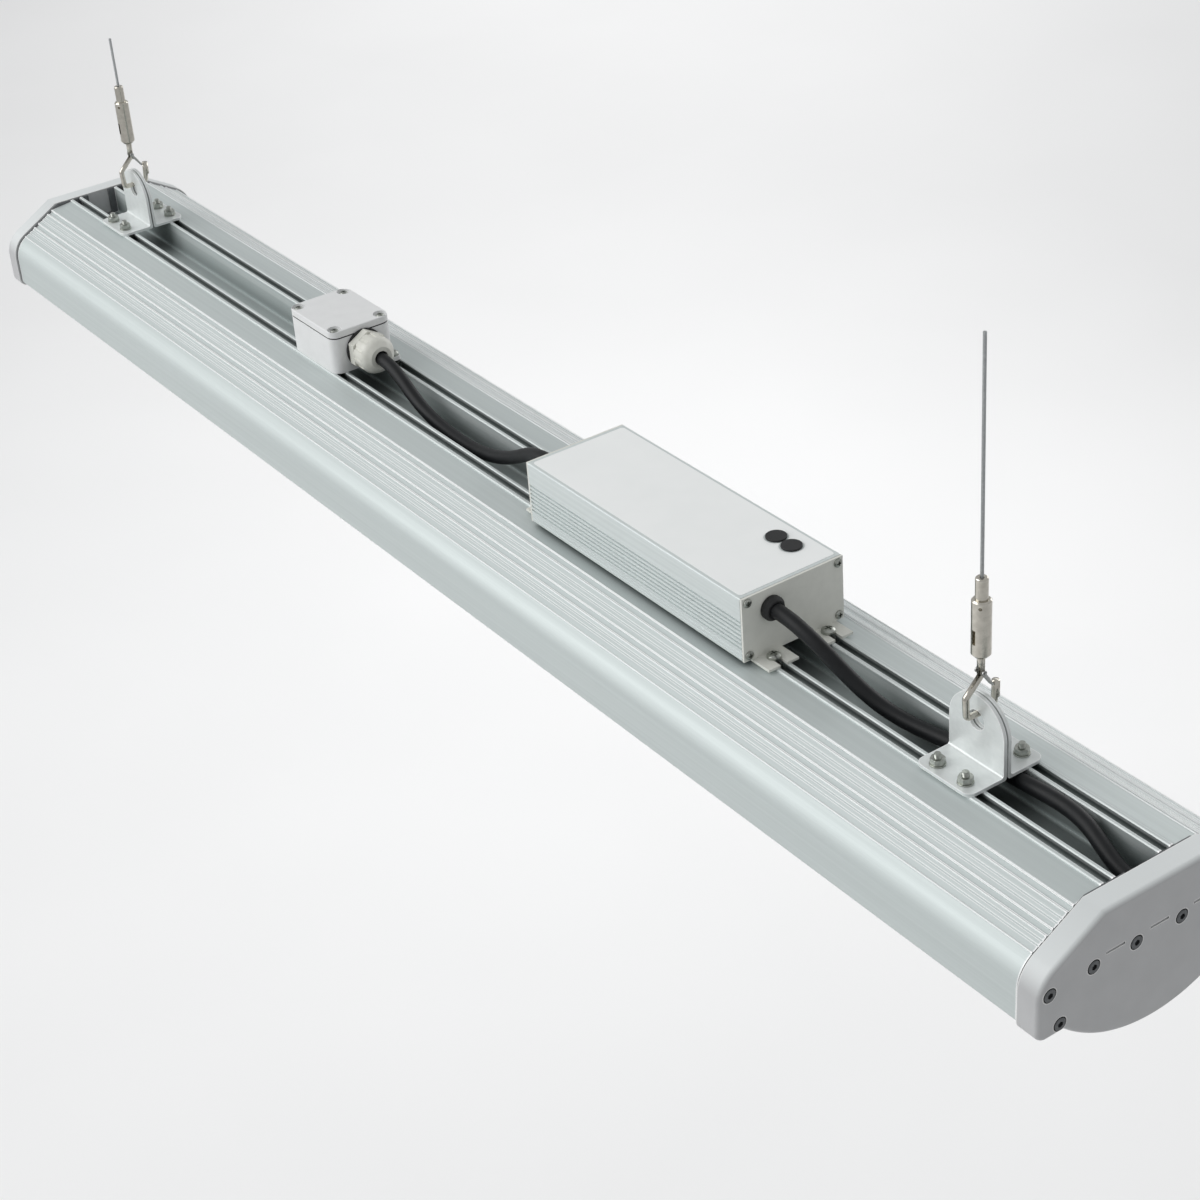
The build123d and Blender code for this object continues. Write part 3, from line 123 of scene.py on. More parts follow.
@dataclass(frozen=True)
class Grain:
    """One layer of cloudy surface pattern.

    Fields: the pattern's feature size, how much longer it is along X, Y and Z, how far it moves the
    colour to the finish's shade, how far it moves the roughness, the height of its relief, and how
    many finer layers it has.
    """

    size_mm: float
    stretch: Point = (1.0, 1.0, 1.0)
    tone: float = 0.0
    gloss: float = 0.0
    relief_mm: float = 0.0
    detail: float = 2.0

    def height(self, tree: bpy.types.NodeTree) -> bpy.types.NodeSocket:
        """Builds the pattern.

        Args:
            tree: the material's node tree.

        Returns:
            The pattern's output, about 0 to 1.
        """
        place = add_node(tree, "ShaderNodeTexCoord").outputs["Object"]
        scale = tuple(1 / (self.size_mm * MM * s) for s in self.stretch)
        mapped = add_node(tree, "ShaderNodeMapping", inputs={"Vector": place, "Scale": scale})
        values = {"Vector": mapped.outputs["Vector"], "Scale": 1.0, "Detail": self.detail}
        return add_node(tree, "ShaderNodeTexNoise", inputs=values).outputs["Fac"]


@dataclass(frozen=True)
class Finish:
    """A surface finish.

    Fields: its name, its material slot, its colour and second shade, its gloss and grain, and its
    painted shade for hollows, painted highlight for edges and painted light for upward faces.
    Grooves up to the unshaded groove width get no painted shade.
    """

    name: str
    slot: str
    colour: str
    shade: str
    roughness: float
    metallic: float = 0.0
    ior: float = 1.5
    grains: tuple[Grain, ...] = ()
    coat: float = 0.0
    coat_roughness: float = 0.1
    glow_depth_mm: float = 0.0
    painted_hollow_shade: str = ""
    hollow_shade_reach_mm: float = 28.0
    unshaded_groove_mm: float = 0.0
    painted_edge_highlight: str = ""
    edge_highlight_reach_mm: float = 1.4
    painted_top_light: str = ""

    @cache
    def material(self) -> bpy.types.Material:
        """Builds the material once.

        Returns:
            The material.
        """
        material = bpy.data.materials.new(self.name)
        material.use_nodes = True
        tree = material.node_tree
        tree.nodes.clear()
        surface = add_node(tree, "ShaderNodeBsdfPrincipled")
        add_node(tree, "ShaderNodeOutputMaterial", inputs={"Surface": surface.outputs["BSDF"]})
        plain: dict[str, Any] = {"Base Color": linear(self.colour)}
        plain |= {"Roughness": self.roughness, "Metallic": self.metallic}
        if self.metallic < 1:
            plain["IOR"] = self.ior
        if self.coat:
            plain |= {"Coat Weight": self.coat, "Coat Roughness": self.coat_roughness}
        if self.glow_depth_mm:
            plain |= {"Subsurface Weight": 1.0, "Subsurface Scale": self.glow_depth_mm * MM}
        for key, value in plain.items():
            surface.inputs[key].default_value = value
        self._layer(tree, surface)
        return material

    def _layer(self, tree: bpy.types.NodeTree, surface: bpy.types.Node) -> None:
        """Adds the grain layers, then the painted light on upward faces, the painted highlight on
        edges and the painted shade in hollows.

        Args:
            tree: the material's node tree.
            surface: the shader that takes them.
        """
        colour: Any = linear(self.colour)
        gloss: bpy.types.NodeSocket | None = None
        normal: bpy.types.NodeSocket | None = None
        for grain in self.grains:
            height = grain.height(tree)
            if grain.tone:
                span = (*GRAIN_LEVELS, 0.0, grain.tone)
                colour = self._blend(tree, colour, self.shade, height, span)
            if grain.gloss:
                terms = {0: height, 1: grain.gloss, 2: -grain.gloss / 2}
                change = add_node(tree, "ShaderNodeMath", {"operation": "MULTIPLY_ADD"}, terms)
                sums = {0: change.outputs[0], 1: gloss if gloss else self.roughness}
                clamped = {"operation": "ADD", "use_clamp": True}
                gloss = add_node(tree, "ShaderNodeMath", clamped, sums).outputs[0]
            if grain.relief_mm:
                inputs = {"Height": height, "Distance": grain.relief_mm * MM, "Strength": 1.0}
                if normal:
                    inputs["Normal"] = normal
                normal = add_node(tree, "ShaderNodeBump", inputs=inputs).outputs["Normal"]
        # Painted light: faces that look up are blended towards a paler colour, as if lit from
        # above.
        if self.painted_top_light:
            normals = add_node(tree, "ShaderNodeTexCoord").outputs["Normal"]
            facing = add_node(tree, "ShaderNodeSeparateXYZ", inputs={0: normals})
            colour = self._blend(tree, colour, self.painted_top_light, facing.outputs["Z"], TOP_LIGHT_SPAN)
        # Painted highlight: thin convex edges are blended towards a lighter colour.
        if self.painted_edge_highlight:
            thickness = self._openness(tree, self.edge_highlight_reach_mm, True)
            colour = self._blend(tree, colour, self.painted_edge_highlight, thickness, EDGE_HIGHLIGHT_SPAN)
        # Painted shade: wide hollows are blended towards a darker colour, and grooves narrower than
        # the unshaded width keep their own colour.
        if self.painted_hollow_shade:
            wide = self._openness(tree, self.hollow_shade_reach_mm, False)
            unshaded_width = self.unshaded_groove_mm
            narrow = self._openness(tree, unshaded_width, False) if unshaded_width else 1.0
            less = {"operation": "SUBTRACT"}
            depth = add_node(tree, "ShaderNodeMath", less, {0: narrow, 1: wide}).outputs[0]
            colour = self._blend(tree, colour, self.painted_hollow_shade, depth, HOLLOW_SHADE_SPAN)
        for name, socket in (("Base Color", colour), ("Roughness", gloss), ("Normal", normal)):
            if isinstance(socket, bpy.types.NodeSocket):
                tree.links.new(socket, surface.inputs[name])

    @staticmethod
    def _openness(tree: bpy.types.NodeTree, reach_mm: float, inside: bool) -> bpy.types.NodeSocket:
        """Measures how open a place is.

        Args:
            tree: the material's node tree.
            reach_mm: how far it looks.
            inside: whether it looks inwards, where edges are thin, and not outwards.

        Returns:
            A socket that is 1 where nothing is near and falls towards 0.
        """
        settings = {"samples": OPENNESS_SAMPLES, "inside": inside, "only_local": inside}
        reach = {"Distance": reach_mm * MM}
        return add_node(tree, "ShaderNodeAmbientOcclusion", settings, reach).outputs["AO"]

    @staticmethod
    def _blend(
        tree: bpy.types.NodeTree, colour: Any, other: str, value: bpy.types.NodeSocket, span: Span
    ) -> bpy.types.NodeSocket:
        """Blends a colour towards another one.

        Args:
            tree: the material's node tree.
            colour: the first colour, as a value or a socket.
            other: the second one's hex code.
            value: the socket that steers the blend.
            span: two levels of that value, and the second colour's share at each.

        Returns:
            The blended colour's socket.
        """
        levels = dict(zip(("From Min", "From Max", "To Min", "To Max"), span))
        share = add_node(tree, "ShaderNodeMapRange", inputs={"Value": value, **levels})
        first, second, result = 6, 7, 2  # The Mix node's colour sockets, among its others.
        sockets = {"Factor": share.outputs["Result"], first: colour, second: linear(other)}
        return add_node(tree, "ShaderNodeMix", {"data_type": "RGBA"}, sockets).outputs[result]


# Extruded aluminium, satin anodised: a pale cool metal, with faint die lines along its length,
# a painted highlight on its thin edges and lips, and painted shade in its wide hollows.
ANODISED_ALUMINIUM = Finish(
    "anodised_extruded_aluminium",
    "anodised_aluminium",
    "#cbd3d2",
    "#bac2c1",
    roughness=0.48,
    metallic=0.3,
    painted_hollow_shade="#545c5c",
    unshaded_groove_mm=2.5,
    painted_edge_highlight="#ffffff",
    grains=(
        Grain(2.4, (160.0, 1.0, 1.0), tone=0.35, gloss=0.1),
        Grain(0.5, (300.0, 1.0, 1.0), tone=0.2, gloss=0.08, relief_mm=0.002),
    ),
)
# Opal polycarbonate, extruded: milky, evenly pale, with a soft sheen.
OPAL_POLYCARBONATE = Finish(
    "opal_polycarbonate",
    "opal_lens",
    "#f3f5f3",
    "#e6e9e7",
    roughness=0.32,
    ior=1.58,
    grains=(Grain(9.0, (30.0, 1.0, 1.0), tone=0.4, gloss=0.08),),
    glow_depth_mm=2.0,
)
# Die-cast aluminium with a fine powder coat: flat grey with a slight orange peel, painted light
# where it faces up, a painted highlight on its edges and painted shade in its recesses.
CAP_POWDER_COAT = Finish(
    "grey_powder_coat_on_die_casting",
    "cap_paint",
    "#bcbdbe",
    "#b0b1b2",
    roughness=0.46,
    painted_hollow_shade="#5c5c5e",
    hollow_shade_reach_mm=1.6,
    painted_edge_highlight="#eeeeec",
    edge_highlight_reach_mm=1.0,
    painted_top_light="#dee2e2",
    grains=(
        Grain(14.0, tone=0.35, gloss=0.06),
        Grain(1.1, relief_mm=0.02, gloss=0.1, detail=1.0),
    ),
)
# Silicone rubber, moulded: dull black with a dusty bloom.
SILICONE_RUBBER = Finish(
    "moulded_silicone_rubber",
    "black_rubber",
    "#1a1b1c",
    "#2a2b2c",
    roughness=0.62,
    grains=(Grain(3.0, tone=0.5, gloss=0.12), Grain(0.4, relief_mm=0.01)),
)
# Silicone rubber, cut sheet: the caps' gaskets, a lit copy of the black rubber, painted grey as
# painted light over the shade along their rim.
GASKET_RUBBER = Finish(
    "lit_grey_silicone_gasket",
    "black_rubber",
    "#5a5d5f",
    "#6e7173",
    roughness=0.7,
    grains=(Grain(3.0, tone=0.5, gloss=0.1), Grain(0.4, relief_mm=0.01)),
)
# Zinc on sunk screws: dark grey steel, less bright than the open fasteners, as painted shade for
# their place in the caps' sockets.
SHADED_SCREW_ZINC = Finish(
    "shaded_zinc_on_sunk_screws",
    "zinc_steel",
    "#6f7173",
    "#5a5c5e",
    roughness=0.42,
    metallic=0.9,
    grains=(Grain(1.2, tone=0.6, gloss=0.2),),
)
# Bright zinc on steel fasteners: grey with small dull patches.
ZINC_PLATED_STEEL = Finish(
    "bright_zinc_plated_steel",
    "zinc_steel",
    "#b6b9b3",
    "#8f928c",
    roughness=0.32,
    metallic=1.0,
    grains=(Grain(1.6, tone=0.6, gloss=0.22),),
)
# Zinc plated sheet, cut and folded: pale grey metal with a rolling direction, dull patches and a
# painted highlight on its edges.
ZINC_PLATED_SHEET = Finish(
    "zinc_plated_folded_sheet",
    "bracket_zinc",
    "#e9edec",
    "#d6dbda",
    roughness=0.36,
    metallic=0.3,
    painted_edge_highlight="#ffffff",
    edge_highlight_reach_mm=0.8,
    grains=(
        Grain(5.0, tone=0.5, gloss=0.15),
        Grain(0.4, (30.0, 1.0, 1.0), tone=0.2, gloss=0.1, relief_mm=0.004),
    ),
)
# White solder resist over an aluminium board: smooth, very slightly warm white.
SOLDER_RESIST = Finish(
    "white_solder_resist",
    "white_board",
    "#f2f2ec",
    "#e2e3dc",
    roughness=0.3,
    grains=(Grain(8.0, tone=0.4, gloss=0.08),),
    coat=0.3,
)
# Phosphor under clear silicone: the yellow face of an unlit white LED.
LED_PHOSPHOR = Finish(
    "led_phosphor",
    "led_yellow",
    "#e9cf62",
    "#f0dc8a",
    roughness=0.22,
    grains=(Grain(1.2, tone=0.7),),
    coat=0.6,
)
# Pale anodised driver case: lighter and duller than the light's own body.
DRIVER_ALUMINIUM = Finish(
    "pale_anodised_driver_case",
    "driver_aluminium",
    "#dbe2e1",
    "#c8d0cf",
    roughness=0.42,
    metallic=0.25,
    grains=(Grain(1.5, (120.0, 1.0, 1.0), tone=0.45, gloss=0.12, relief_mm=0.004),),
)
# Painted steel end plates of the driver: warm satin grey.
DRIVER_PLATE_PAINT = Finish(
    "warm_grey_paint_on_sheet_steel",
    "driver_plate",
    "#e2e3dc",
    "#d4d5ce",
    roughness=0.4,
    grains=(Grain(6.0, tone=0.4, gloss=0.1), Grain(0.7, relief_mm=0.008)),
)
# Potting resin, poured: near black, glossy and slightly wavy.
POTTING_RESIN = Finish(
    "poured_potting_resin",
    "potting",
    "#161718",
    "#202122",
    roughness=0.2,
    grains=(Grain(12.0, tone=0.5, relief_mm=0.1),),
)
# Polyester film, blank: smooth, almost white and a little glossier than the driver's case.
LABEL_FILM = Finish(
    "blank_polyester_film",
    "driver_aluminium",
    "#f8faf9",
    "#f0f3f2",
    roughness=0.42,
    grains=(Grain(22.0, tone=0.35, gloss=0.08),),
)
# Rubber sheath of a mains lead: black, smooth, with a soft grey highlight.
RUBBER_SHEATH = Finish(
    "smooth_rubber_sheath",
    "black_sheath",
    "#101214",
    "#1a1c1f",
    roughness=0.52,
    ior=1.38,
    grains=(Grain(7.0, tone=0.6, gloss=0.14), Grain(0.6, relief_mm=0.012)),
)
# Die-cast junction box with a fine powder coat: pale grey, a little rougher than the end caps.
BOX_POWDER_COAT = Finish(
    "pale_powder_coat_on_junction_box",
    "box_paint",
    "#e6e7e7",
    "#dcdddd",
    roughness=0.5,
    grains=(
        Grain(9.0, tone=0.4, gloss=0.06),
        Grain(0.8, relief_mm=0.03, gloss=0.1, detail=1.0),
    ),
)
# Polyamide terminal block, moulded: cream and slightly waxy.
TERMINAL_POLYAMIDE = Finish(
    "moulded_cream_polyamide",
    "terminal_plastic",
    "#e8e4d2",
    "#dad5c0",
    roughness=0.42,
    grains=(Grain(4.0, tone=0.4, gloss=0.1),),
)
# Brass screws: warm yellow metal with dull patches.
BRIGHT_BRASS = Finish(
    "bright_brass",
    "brass_screws",
    "#d9bd74",
    "#a98c4c",
    roughness=0.26,
    metallic=1.0,
    grains=(Grain(1.2, tone=0.6, gloss=0.2),),
)
# Polyamide gland, moulded: creamy white with a soft, waxy gloss.
GLAND_POLYAMIDE = Finish(
    "moulded_white_polyamide",
    "gland_plastic",
    "#dcdcd4",
    "#cfcfc5",
    roughness=0.38,
    grains=(Grain(3.5, tone=0.45, gloss=0.12), Grain(0.5, relief_mm=0.004)),
)
# Bright nickel on turned brass and bent wire: slightly warm, with fine turning marks.
BRIGHT_NICKEL = Finish(
    "bright_nickel_plate",
    "nickel",
    "#d6d2c8",
    "#a9a49a",
    roughness=0.2,
    metallic=1.0,
    grains=(Grain(0.35, (1.0, 1.0, 0.5), gloss=0.14), Grain(3.0, tone=0.45)),
)
# Spring steel, hard drawn: plain grey metal.
SPRING_STEEL = Finish(
    "hard_drawn_spring_steel",
    "spring_steel",
    "#bfc0be",
    "#8f908e",
    roughness=0.3,
    metallic=1.0,
    grains=(Grain(0.8, tone=0.5, gloss=0.2),),
)
# Galvanised rope wire: dull grey strands, darker between them.
GALVANISED_WIRE = Finish(
    "galvanised_rope_wire",
    "wire_steel",
    "#c6c9ca",
    "#a0a3a4",
    roughness=0.4,
    metallic=0.6,
    grains=(Grain(1.0, tone=0.6, gloss=0.2),),
)
# Backdrop paper, matt: a neutral near-white.
BACKDROP_PAPER = Finish(
    "pale_backdrop_paper",
    "",
    "#f0f0f0",
    "#ebebeb",
    roughness=0.9,
    grains=(Grain(600.0, tone=0.5),),
)


def add_piece(
    name: str, form: bmesh.types.BMesh, finish: Finish, body: Body, stands_for: Sequence[str] = ()
) -> bpy.types.Object:
    """Makes a piece of the light from a finished form.

    Args:
        name: the piece's name.
        form: its form, which is used up.
        finish: its surface.
        body: the CAD body it moves with.
        stands_for: the CAD nodes it replaces.

    Returns:
        The piece.
    """
    mesh = bpy.data.meshes.new(name)
    bmesh.ops.recalc_face_normals(form, faces=form.faces)
    form.to_mesh(mesh)
    form.free()
    mesh.shade_smooth()
    mesh.set_sharp_from_angle(angle=math.radians(CREASE_DEG))
    mesh.materials.append(finish.material())
    piece = bpy.data.objects.new(name, mesh)
    bpy.context.scene.collection.objects.link(piece)
    settle(piece, body, stands_for)
    return piece


def settle(
    piece: bpy.types.Object, body: Body, stands_for: Sequence[str] = ()
) -> None:
    """Puts a piece on its body and the nodes it replaces.

    Args:
        piece: the piece.
        body: the CAD body it moves with.
        stands_for: the CAD nodes it replaces.
    """
    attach(piece, body.value)
    if stands_for:
        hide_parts(*stands_for)
    LOG.info("piece %s on %s", piece.name, body.value)


def dress(node: str, finish: Finish, edge_mm: float = 0.0) -> None:
    """Gives a CAD node its finish and, where it has one, the small round of its edges.

    Args:
        node: the CAD node's name.
        finish: its surface.
        edge_mm: the width of the round on its sharp edges.
    """
    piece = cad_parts[node]
    piece.data.materials.clear()
    piece.data.materials.append(finish.material())
    piece.data.shade_smooth()
    weld = piece.modifiers.new("weld", "WELD")
    weld.merge_threshold = WELD_DISTANCE
    if edge_mm:
        flat = piece.modifiers.new("flat_faces", "DECIMATE")
        flat.decimate_type = "DISSOLVE"
        flat.angle_limit = math.radians(FLAT_WITHIN_DEG)
        rounded = piece.modifiers.new("edge_round", "BEVEL")
        rounded.width = edge_mm * MM
        rounded.segments = ROUND_SEGMENTS
        rounded.limit_method = "ANGLE"
        rounded.angle_limit = math.radians(CREASE_DEG)
        rounded.harden_normals = False
        rounded.use_clamp_overlap = True
        even = piece.modifiers.new("flat_shading", "WEIGHTED_NORMAL")
        even.weight = FACE_AREA_WEIGHT
    LOG.info("node %s dressed in %s", node, finish.name)


def add_ring(
    form: bmesh.types.BMesh, centre: Vector, across: Vector, up: Vector, radius: float, count: int
) -> list[bmesh.types.BMVert]:
    """Adds a ring of vertices.

    Args:
        form: the form it goes into.
        centre: its centre.
        across: a unit vector in its plane.
        up: another, square to the first.
        radius: its radius.
        count: how many vertices it has.

    Returns:
        The vertices, in order.
    """
    ring = []
    for k in range(count):
        turn = 2 * math.pi * k / count
        sideways = across * (radius * math.cos(turn))
        upwards = up * (radius * math.sin(turn))
        ring.append(form.verts.new(centre + sideways + upwards))
    return ring


def join_rings(form: bmesh.types.BMesh, rings: Sequence[list[bmesh.types.BMVert]]) -> None:
    """Joins rings of vertices into a skin with closed ends.

    Args:
        form: the form that holds them.
        rings: the rings, in order, each with as many vertices.
    """
    for low, high in zip(rings, rings[1:]):
        count = len(low)
        for k in range(count):
            form.faces.new((low[k], low[(k + 1) % count], high[(k + 1) % count], high[k]))
    form.faces.new(list(reversed(rings[0])))
    form.faces.new(rings[-1])


@dataclass(frozen=True)
class Lead:
    """A round sheathed lead, on the route that the CAD model's tube has."""

    name: str
    route_mm: tuple[Point, ...]
    length: float
    diameter_mm: float = 8.5
    steps_per_point: int = 10
    round_steps: int = 6

    def build(self) -> None:
        """Builds the lead as one smooth curve."""
        curve = bpy.data.curves.new(f"{self.name}_curve", "CURVE")
        curve.dimensions = "3D"
        curve.resolution_u = self.steps_per_point
        curve.bevel_depth = self.diameter_mm * MM / 2
        curve.bevel_resolution = self.round_steps
        curve.use_fill_caps = True
        add_route(curve, self.route_mm)
        curve.materials.append(RUBBER_SHEATH.material())
        piece = bpy.data.objects.new(f"{self.name}_sheath", curve)
        bpy.context.scene.collection.objects.link(piece)
        settle(piece, Body.FIXTURE, [self.name])


def add_route(curve: bpy.types.Curve, route_mm: Sequence[Point]) -> None:
    """Adds one open spline with the route's points as its control points.

    Args:
        curve: the curve that takes it.
        route_mm: the points, in millimetres.
    """
    spline = curve.splines.new("NURBS")
    spline.points.add(len(route_mm) - 1)
    for point, place in zip(spline.points, route_mm):
        point.co = (*(Vector(place) * MM), 1.0)
    spline.order_u = 3
    spline.use_endpoint_u = True


@dataclass(frozen=True)
class RopeWire:
    """A suspension wire: strands laid round a core, taut between the gripper and its free end.

    Six strands fit round a core of their own size, so the wire is three strand radii in radius.
    """

    name: str
    body: Body
    x: float
    foot: float
    top: float
    grip_top: float
    radius: float = 1.0 * MM
    gripped_radius: float = 0.83 * MM
    swell: float = 1.2 * MM
    strands: int = 6
    strand_radii: int = 3
    lay_length: float = 6.5 * MM
    steps_per_lay: int = 14
    least_steps: int = 8
    strand_sides: int = 6
    line_steps: int = 8

    def build(self) -> None:
        """Builds the strands along the wire's route."""
        path = self._path()
        form = bmesh.new()
        core_radius = self.gripped_radius / self.strand_radii
        axes = Vector((1, 0, 0)), Vector((0, 1, 0))
        core = [add_ring(form, place, *axes, core_radius, self.strand_sides) for place in path]
        join_rings(form, core)
        height = self.top - self.foot
        count = max(self.least_steps, round(height / self.lay_length * self.steps_per_lay))
        for k in range(self.strands):
            start = 2 * math.pi * k / self.strands
            rings = []
            for i in range(count + 1):
                share = i / count
                turn = start + 2 * math.pi * share * height / self.lay_length
                out = Vector((math.cos(turn), math.sin(turn), 0))
                along = self._at(path, share)
                reach = self._radius_at(along.z)
                strand = reach / self.strand_radii
                side = Vector((0, 0, 1)).cross(out)
                centre = along + out * (reach - strand)
                rings.append(add_ring(form, centre, out, side, strand, self.strand_sides))
            join_rings(form, rings)
        piece = add_piece(f"{self.name}_strands", form, GALVANISED_WIRE, self.body, [self.name])

    def _path(self) -> list[Vector]:
        """Reads the wire's line from its spline.

        Returns:
            Points from the foot to the top.
        """
        curve = bpy.data.curves.new(f"{self.name}_line", "CURVE")
        curve.dimensions = "3D"
        curve.resolution_u = self.line_steps
        ends = (self.foot, self.foot + (self.top - self.foot) / 2, self.top)
        add_route(curve, [(self.x / MM, 0.0, z / MM) for z in ends])
        holder = bpy.data.objects.new(f"{self.name}_line", curve)
        mesh = bpy.data.meshes.new_from_object(holder)
        points = [v.co.copy() for v in mesh.vertices]
        bpy.data.objects.remove(holder)
        bpy.data.curves.remove(curve)
        bpy.data.meshes.remove(mesh)
        return points

    def _radius_at(self, z: float) -> float:
        """Returns the wire's radius at a height: pressed thinner up to the top of the grip."""
        share = min(1.0, max(0.0, (z - self.grip_top) / self.swell))
        return self.gripped_radius + (self.radius - self.gripped_radius) * share

    @staticmethod
    def _at(path: Sequence[Vector], share: float) -> Vector:
        """Returns the point at a share of the way along a straight path."""
        return path[0].lerp(path[-1], share)


@dataclass(frozen=True)
class LightBody:
    """The extruded body with its lens and LED boards."""

    body_edge_mm: float = 0.25
    lens_edge_mm: float = 0.2
    led_edge_mm: float = 0.15
    screw_edge_mm: float = 0.2

    def build(self) -> None:
        """Dresses the body's CAD nodes."""
        dress("housing_extrusion", ANODISED_ALUMINIUM, self.body_edge_mm)
        dress("diffuser", OPAL_POLYCARBONATE, self.lens_edge_mm)
        dress("led_boards", SOLDER_RESIST)
        dress("led_packages", LED_PHOSPHOR, self.led_edge_mm)
        dress("led_board_screws", ZINC_PLATED_STEEL, self.screw_edge_mm)


@dataclass(frozen=True)
class EndCaps:
    """Both end caps with their gaskets, screws and the lead's grommet."""

    cap_edge_mm: float = 0.5
    gasket_edge_mm: float = 0.2
    screw_edge_mm: float = 0.3
    grommet_edge_mm: float = 0.4

    def build(self) -> None:
        """Dresses the caps' CAD nodes."""
        for end in ("near", "far"):
            dress(f"{end}_end_cap", CAP_POWDER_COAT, self.cap_edge_mm)
            dress(f"{end}_gasket", GASKET_RUBBER, self.gasket_edge_mm)
        dress("end_cap_screws", SHADED_SCREW_ZINC, self.screw_edge_mm)
        dress("lead_entry_grommet", SILICONE_RUBBER, self.grommet_edge_mm)


@dataclass(frozen=True)
class Driver:
    """The driver: finned case, end plates, trim plugs and the blank film on its top."""

    case_edge_mm: float = 0.18
    plate_edge_mm: float = 0.25
    plate_screw_edge_mm: float = 0.15
    fixing_edge_mm: float = 0.2
    rubber_edge_mm: float = 0.35
    film_inset: float = 2.2 * MM
    film_thickness: float = 0.12 * MM
    film_corner: float = 2.0 * MM
    plug_gap: float = 0.9 * MM
    corner_steps: int = 6
    hole_sides: int = 32

    def build(self) -> None:
        """Dresses the driver's CAD nodes and adds its film."""
        dress("driver_case", DRIVER_ALUMINIUM, self.case_edge_mm)
        for node in ("driver_far_plate", "driver_near_plate"):
            dress(node, DRIVER_PLATE_PAINT, self.plate_edge_mm)
        dress("driver_potted_core", POTTING_RESIN)
        dress("driver_plate_screws", ZINC_PLATED_STEEL, self.plate_screw_edge_mm)
        for node in ("driver_foot_screws", "driver_slot_nuts"):
            dress(node, ZINC_PLATED_STEEL, self.fixing_edge_mm)
        for node in ("driver_trim_plugs", "driver_input_grommet", "driver_output_grommet"):
            dress(node, SILICONE_RUBBER, self.rubber_edge_mm)
        self._film()

    def _film(self) -> None:
        """Builds the blank film, cut out round both trim plugs."""
        low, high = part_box("driver_case")
        plug_low, plug_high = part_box("driver_trim_plugs")
        radius = (plug_high.y - plug_low.y) / 2
        row = (plug_low.y + plug_high.y) / 2
        centres = [Vector((x, row, high.z)) for x in (plug_low.x + radius, plug_high.x - radius)]
        form = bmesh.new()
        left, right = low.x + self.film_inset, high.x - self.film_inset
        front, back = low.y + self.film_inset, high.y - self.film_inset
        rim = []
        corners = ((right, back, 0), (left, back, 90), (left, front, 180), (right, front, 270))
        for x, y, start in corners:
            inward = Matrix.Rotation(math.radians(start), 2) @ Vector((1, 1)) * -self.film_corner
            for k in range(self.corner_steps + 1):
                turn = math.radians(start + 90 * k / self.corner_steps)
                out = Vector((math.cos(turn), math.sin(turn))) * self.film_corner
                place = Vector((x, y)) + inward + out
                rim.append(form.verts.new((place.x, place.y, high.z)))
        loops = [rim]
        axes = Vector((1, 0, 0)), Vector((0, 1, 0))
        for centre in centres:
            loops.append(add_ring(form, centre, *axes, radius + self.plug_gap, self.hole_sides))
        edges = [form.edges.new(pair) for loop in loops for pair in zip(loop, loop[1:] + loop[:1])]
        bmesh.ops.triangle_fill(form, use_beauty=True, edges=edges, normal=(0, 0, 1))
        lifted = bmesh.ops.extrude_face_region(form, geom=form.faces[:])["geom"]
        for part in lifted:
            if isinstance(part, bmesh.types.BMVert):
                part.co.z += self.film_thickness
        add_piece("driver_blank_film", form, LABEL_FILM, Body.FIXTURE)


@dataclass(frozen=True)
class JunctionBox:
    """The die-cast junction box with its terminal block and cable gland."""

    base_edge_mm: float = 0.4
    lid_edge_mm: float = 0.3
    screw_edge_mm: float = 0.2
    terminal_edge_mm: float = 0.3
    gland_edge_mm: float = 0.4
    dome_nut_edge_mm: float = 0.3
    seal_edge_mm: float = 0.3

    def build(self) -> None:
        """Dresses the junction box's CAD nodes."""
        dress("junction_box_base", BOX_POWDER_COAT, self.base_edge_mm)
        dress("junction_box_lid", BOX_POWDER_COAT, self.lid_edge_mm)
        dress("junction_box_gasket", SILICONE_RUBBER)
        for part in ("lid_screws", "fixing_screws", "slot_nuts"):
            dress(f"junction_box_{part}", ZINC_PLATED_STEEL, self.screw_edge_mm)
        dress("terminal_block", TERMINAL_POLYAMIDE, self.terminal_edge_mm)
        dress("terminal_screws", BRIGHT_BRASS, self.screw_edge_mm)
        dress("gland_body", GLAND_POLYAMIDE, self.gland_edge_mm)
        dress("gland_dome_nut", GLAND_POLYAMIDE, self.dome_nut_edge_mm)
        for part in ("sealing_ring", "clamping_seal"):
            dress(f"gland_{part}", SILICONE_RUBBER, self.seal_edge_mm)


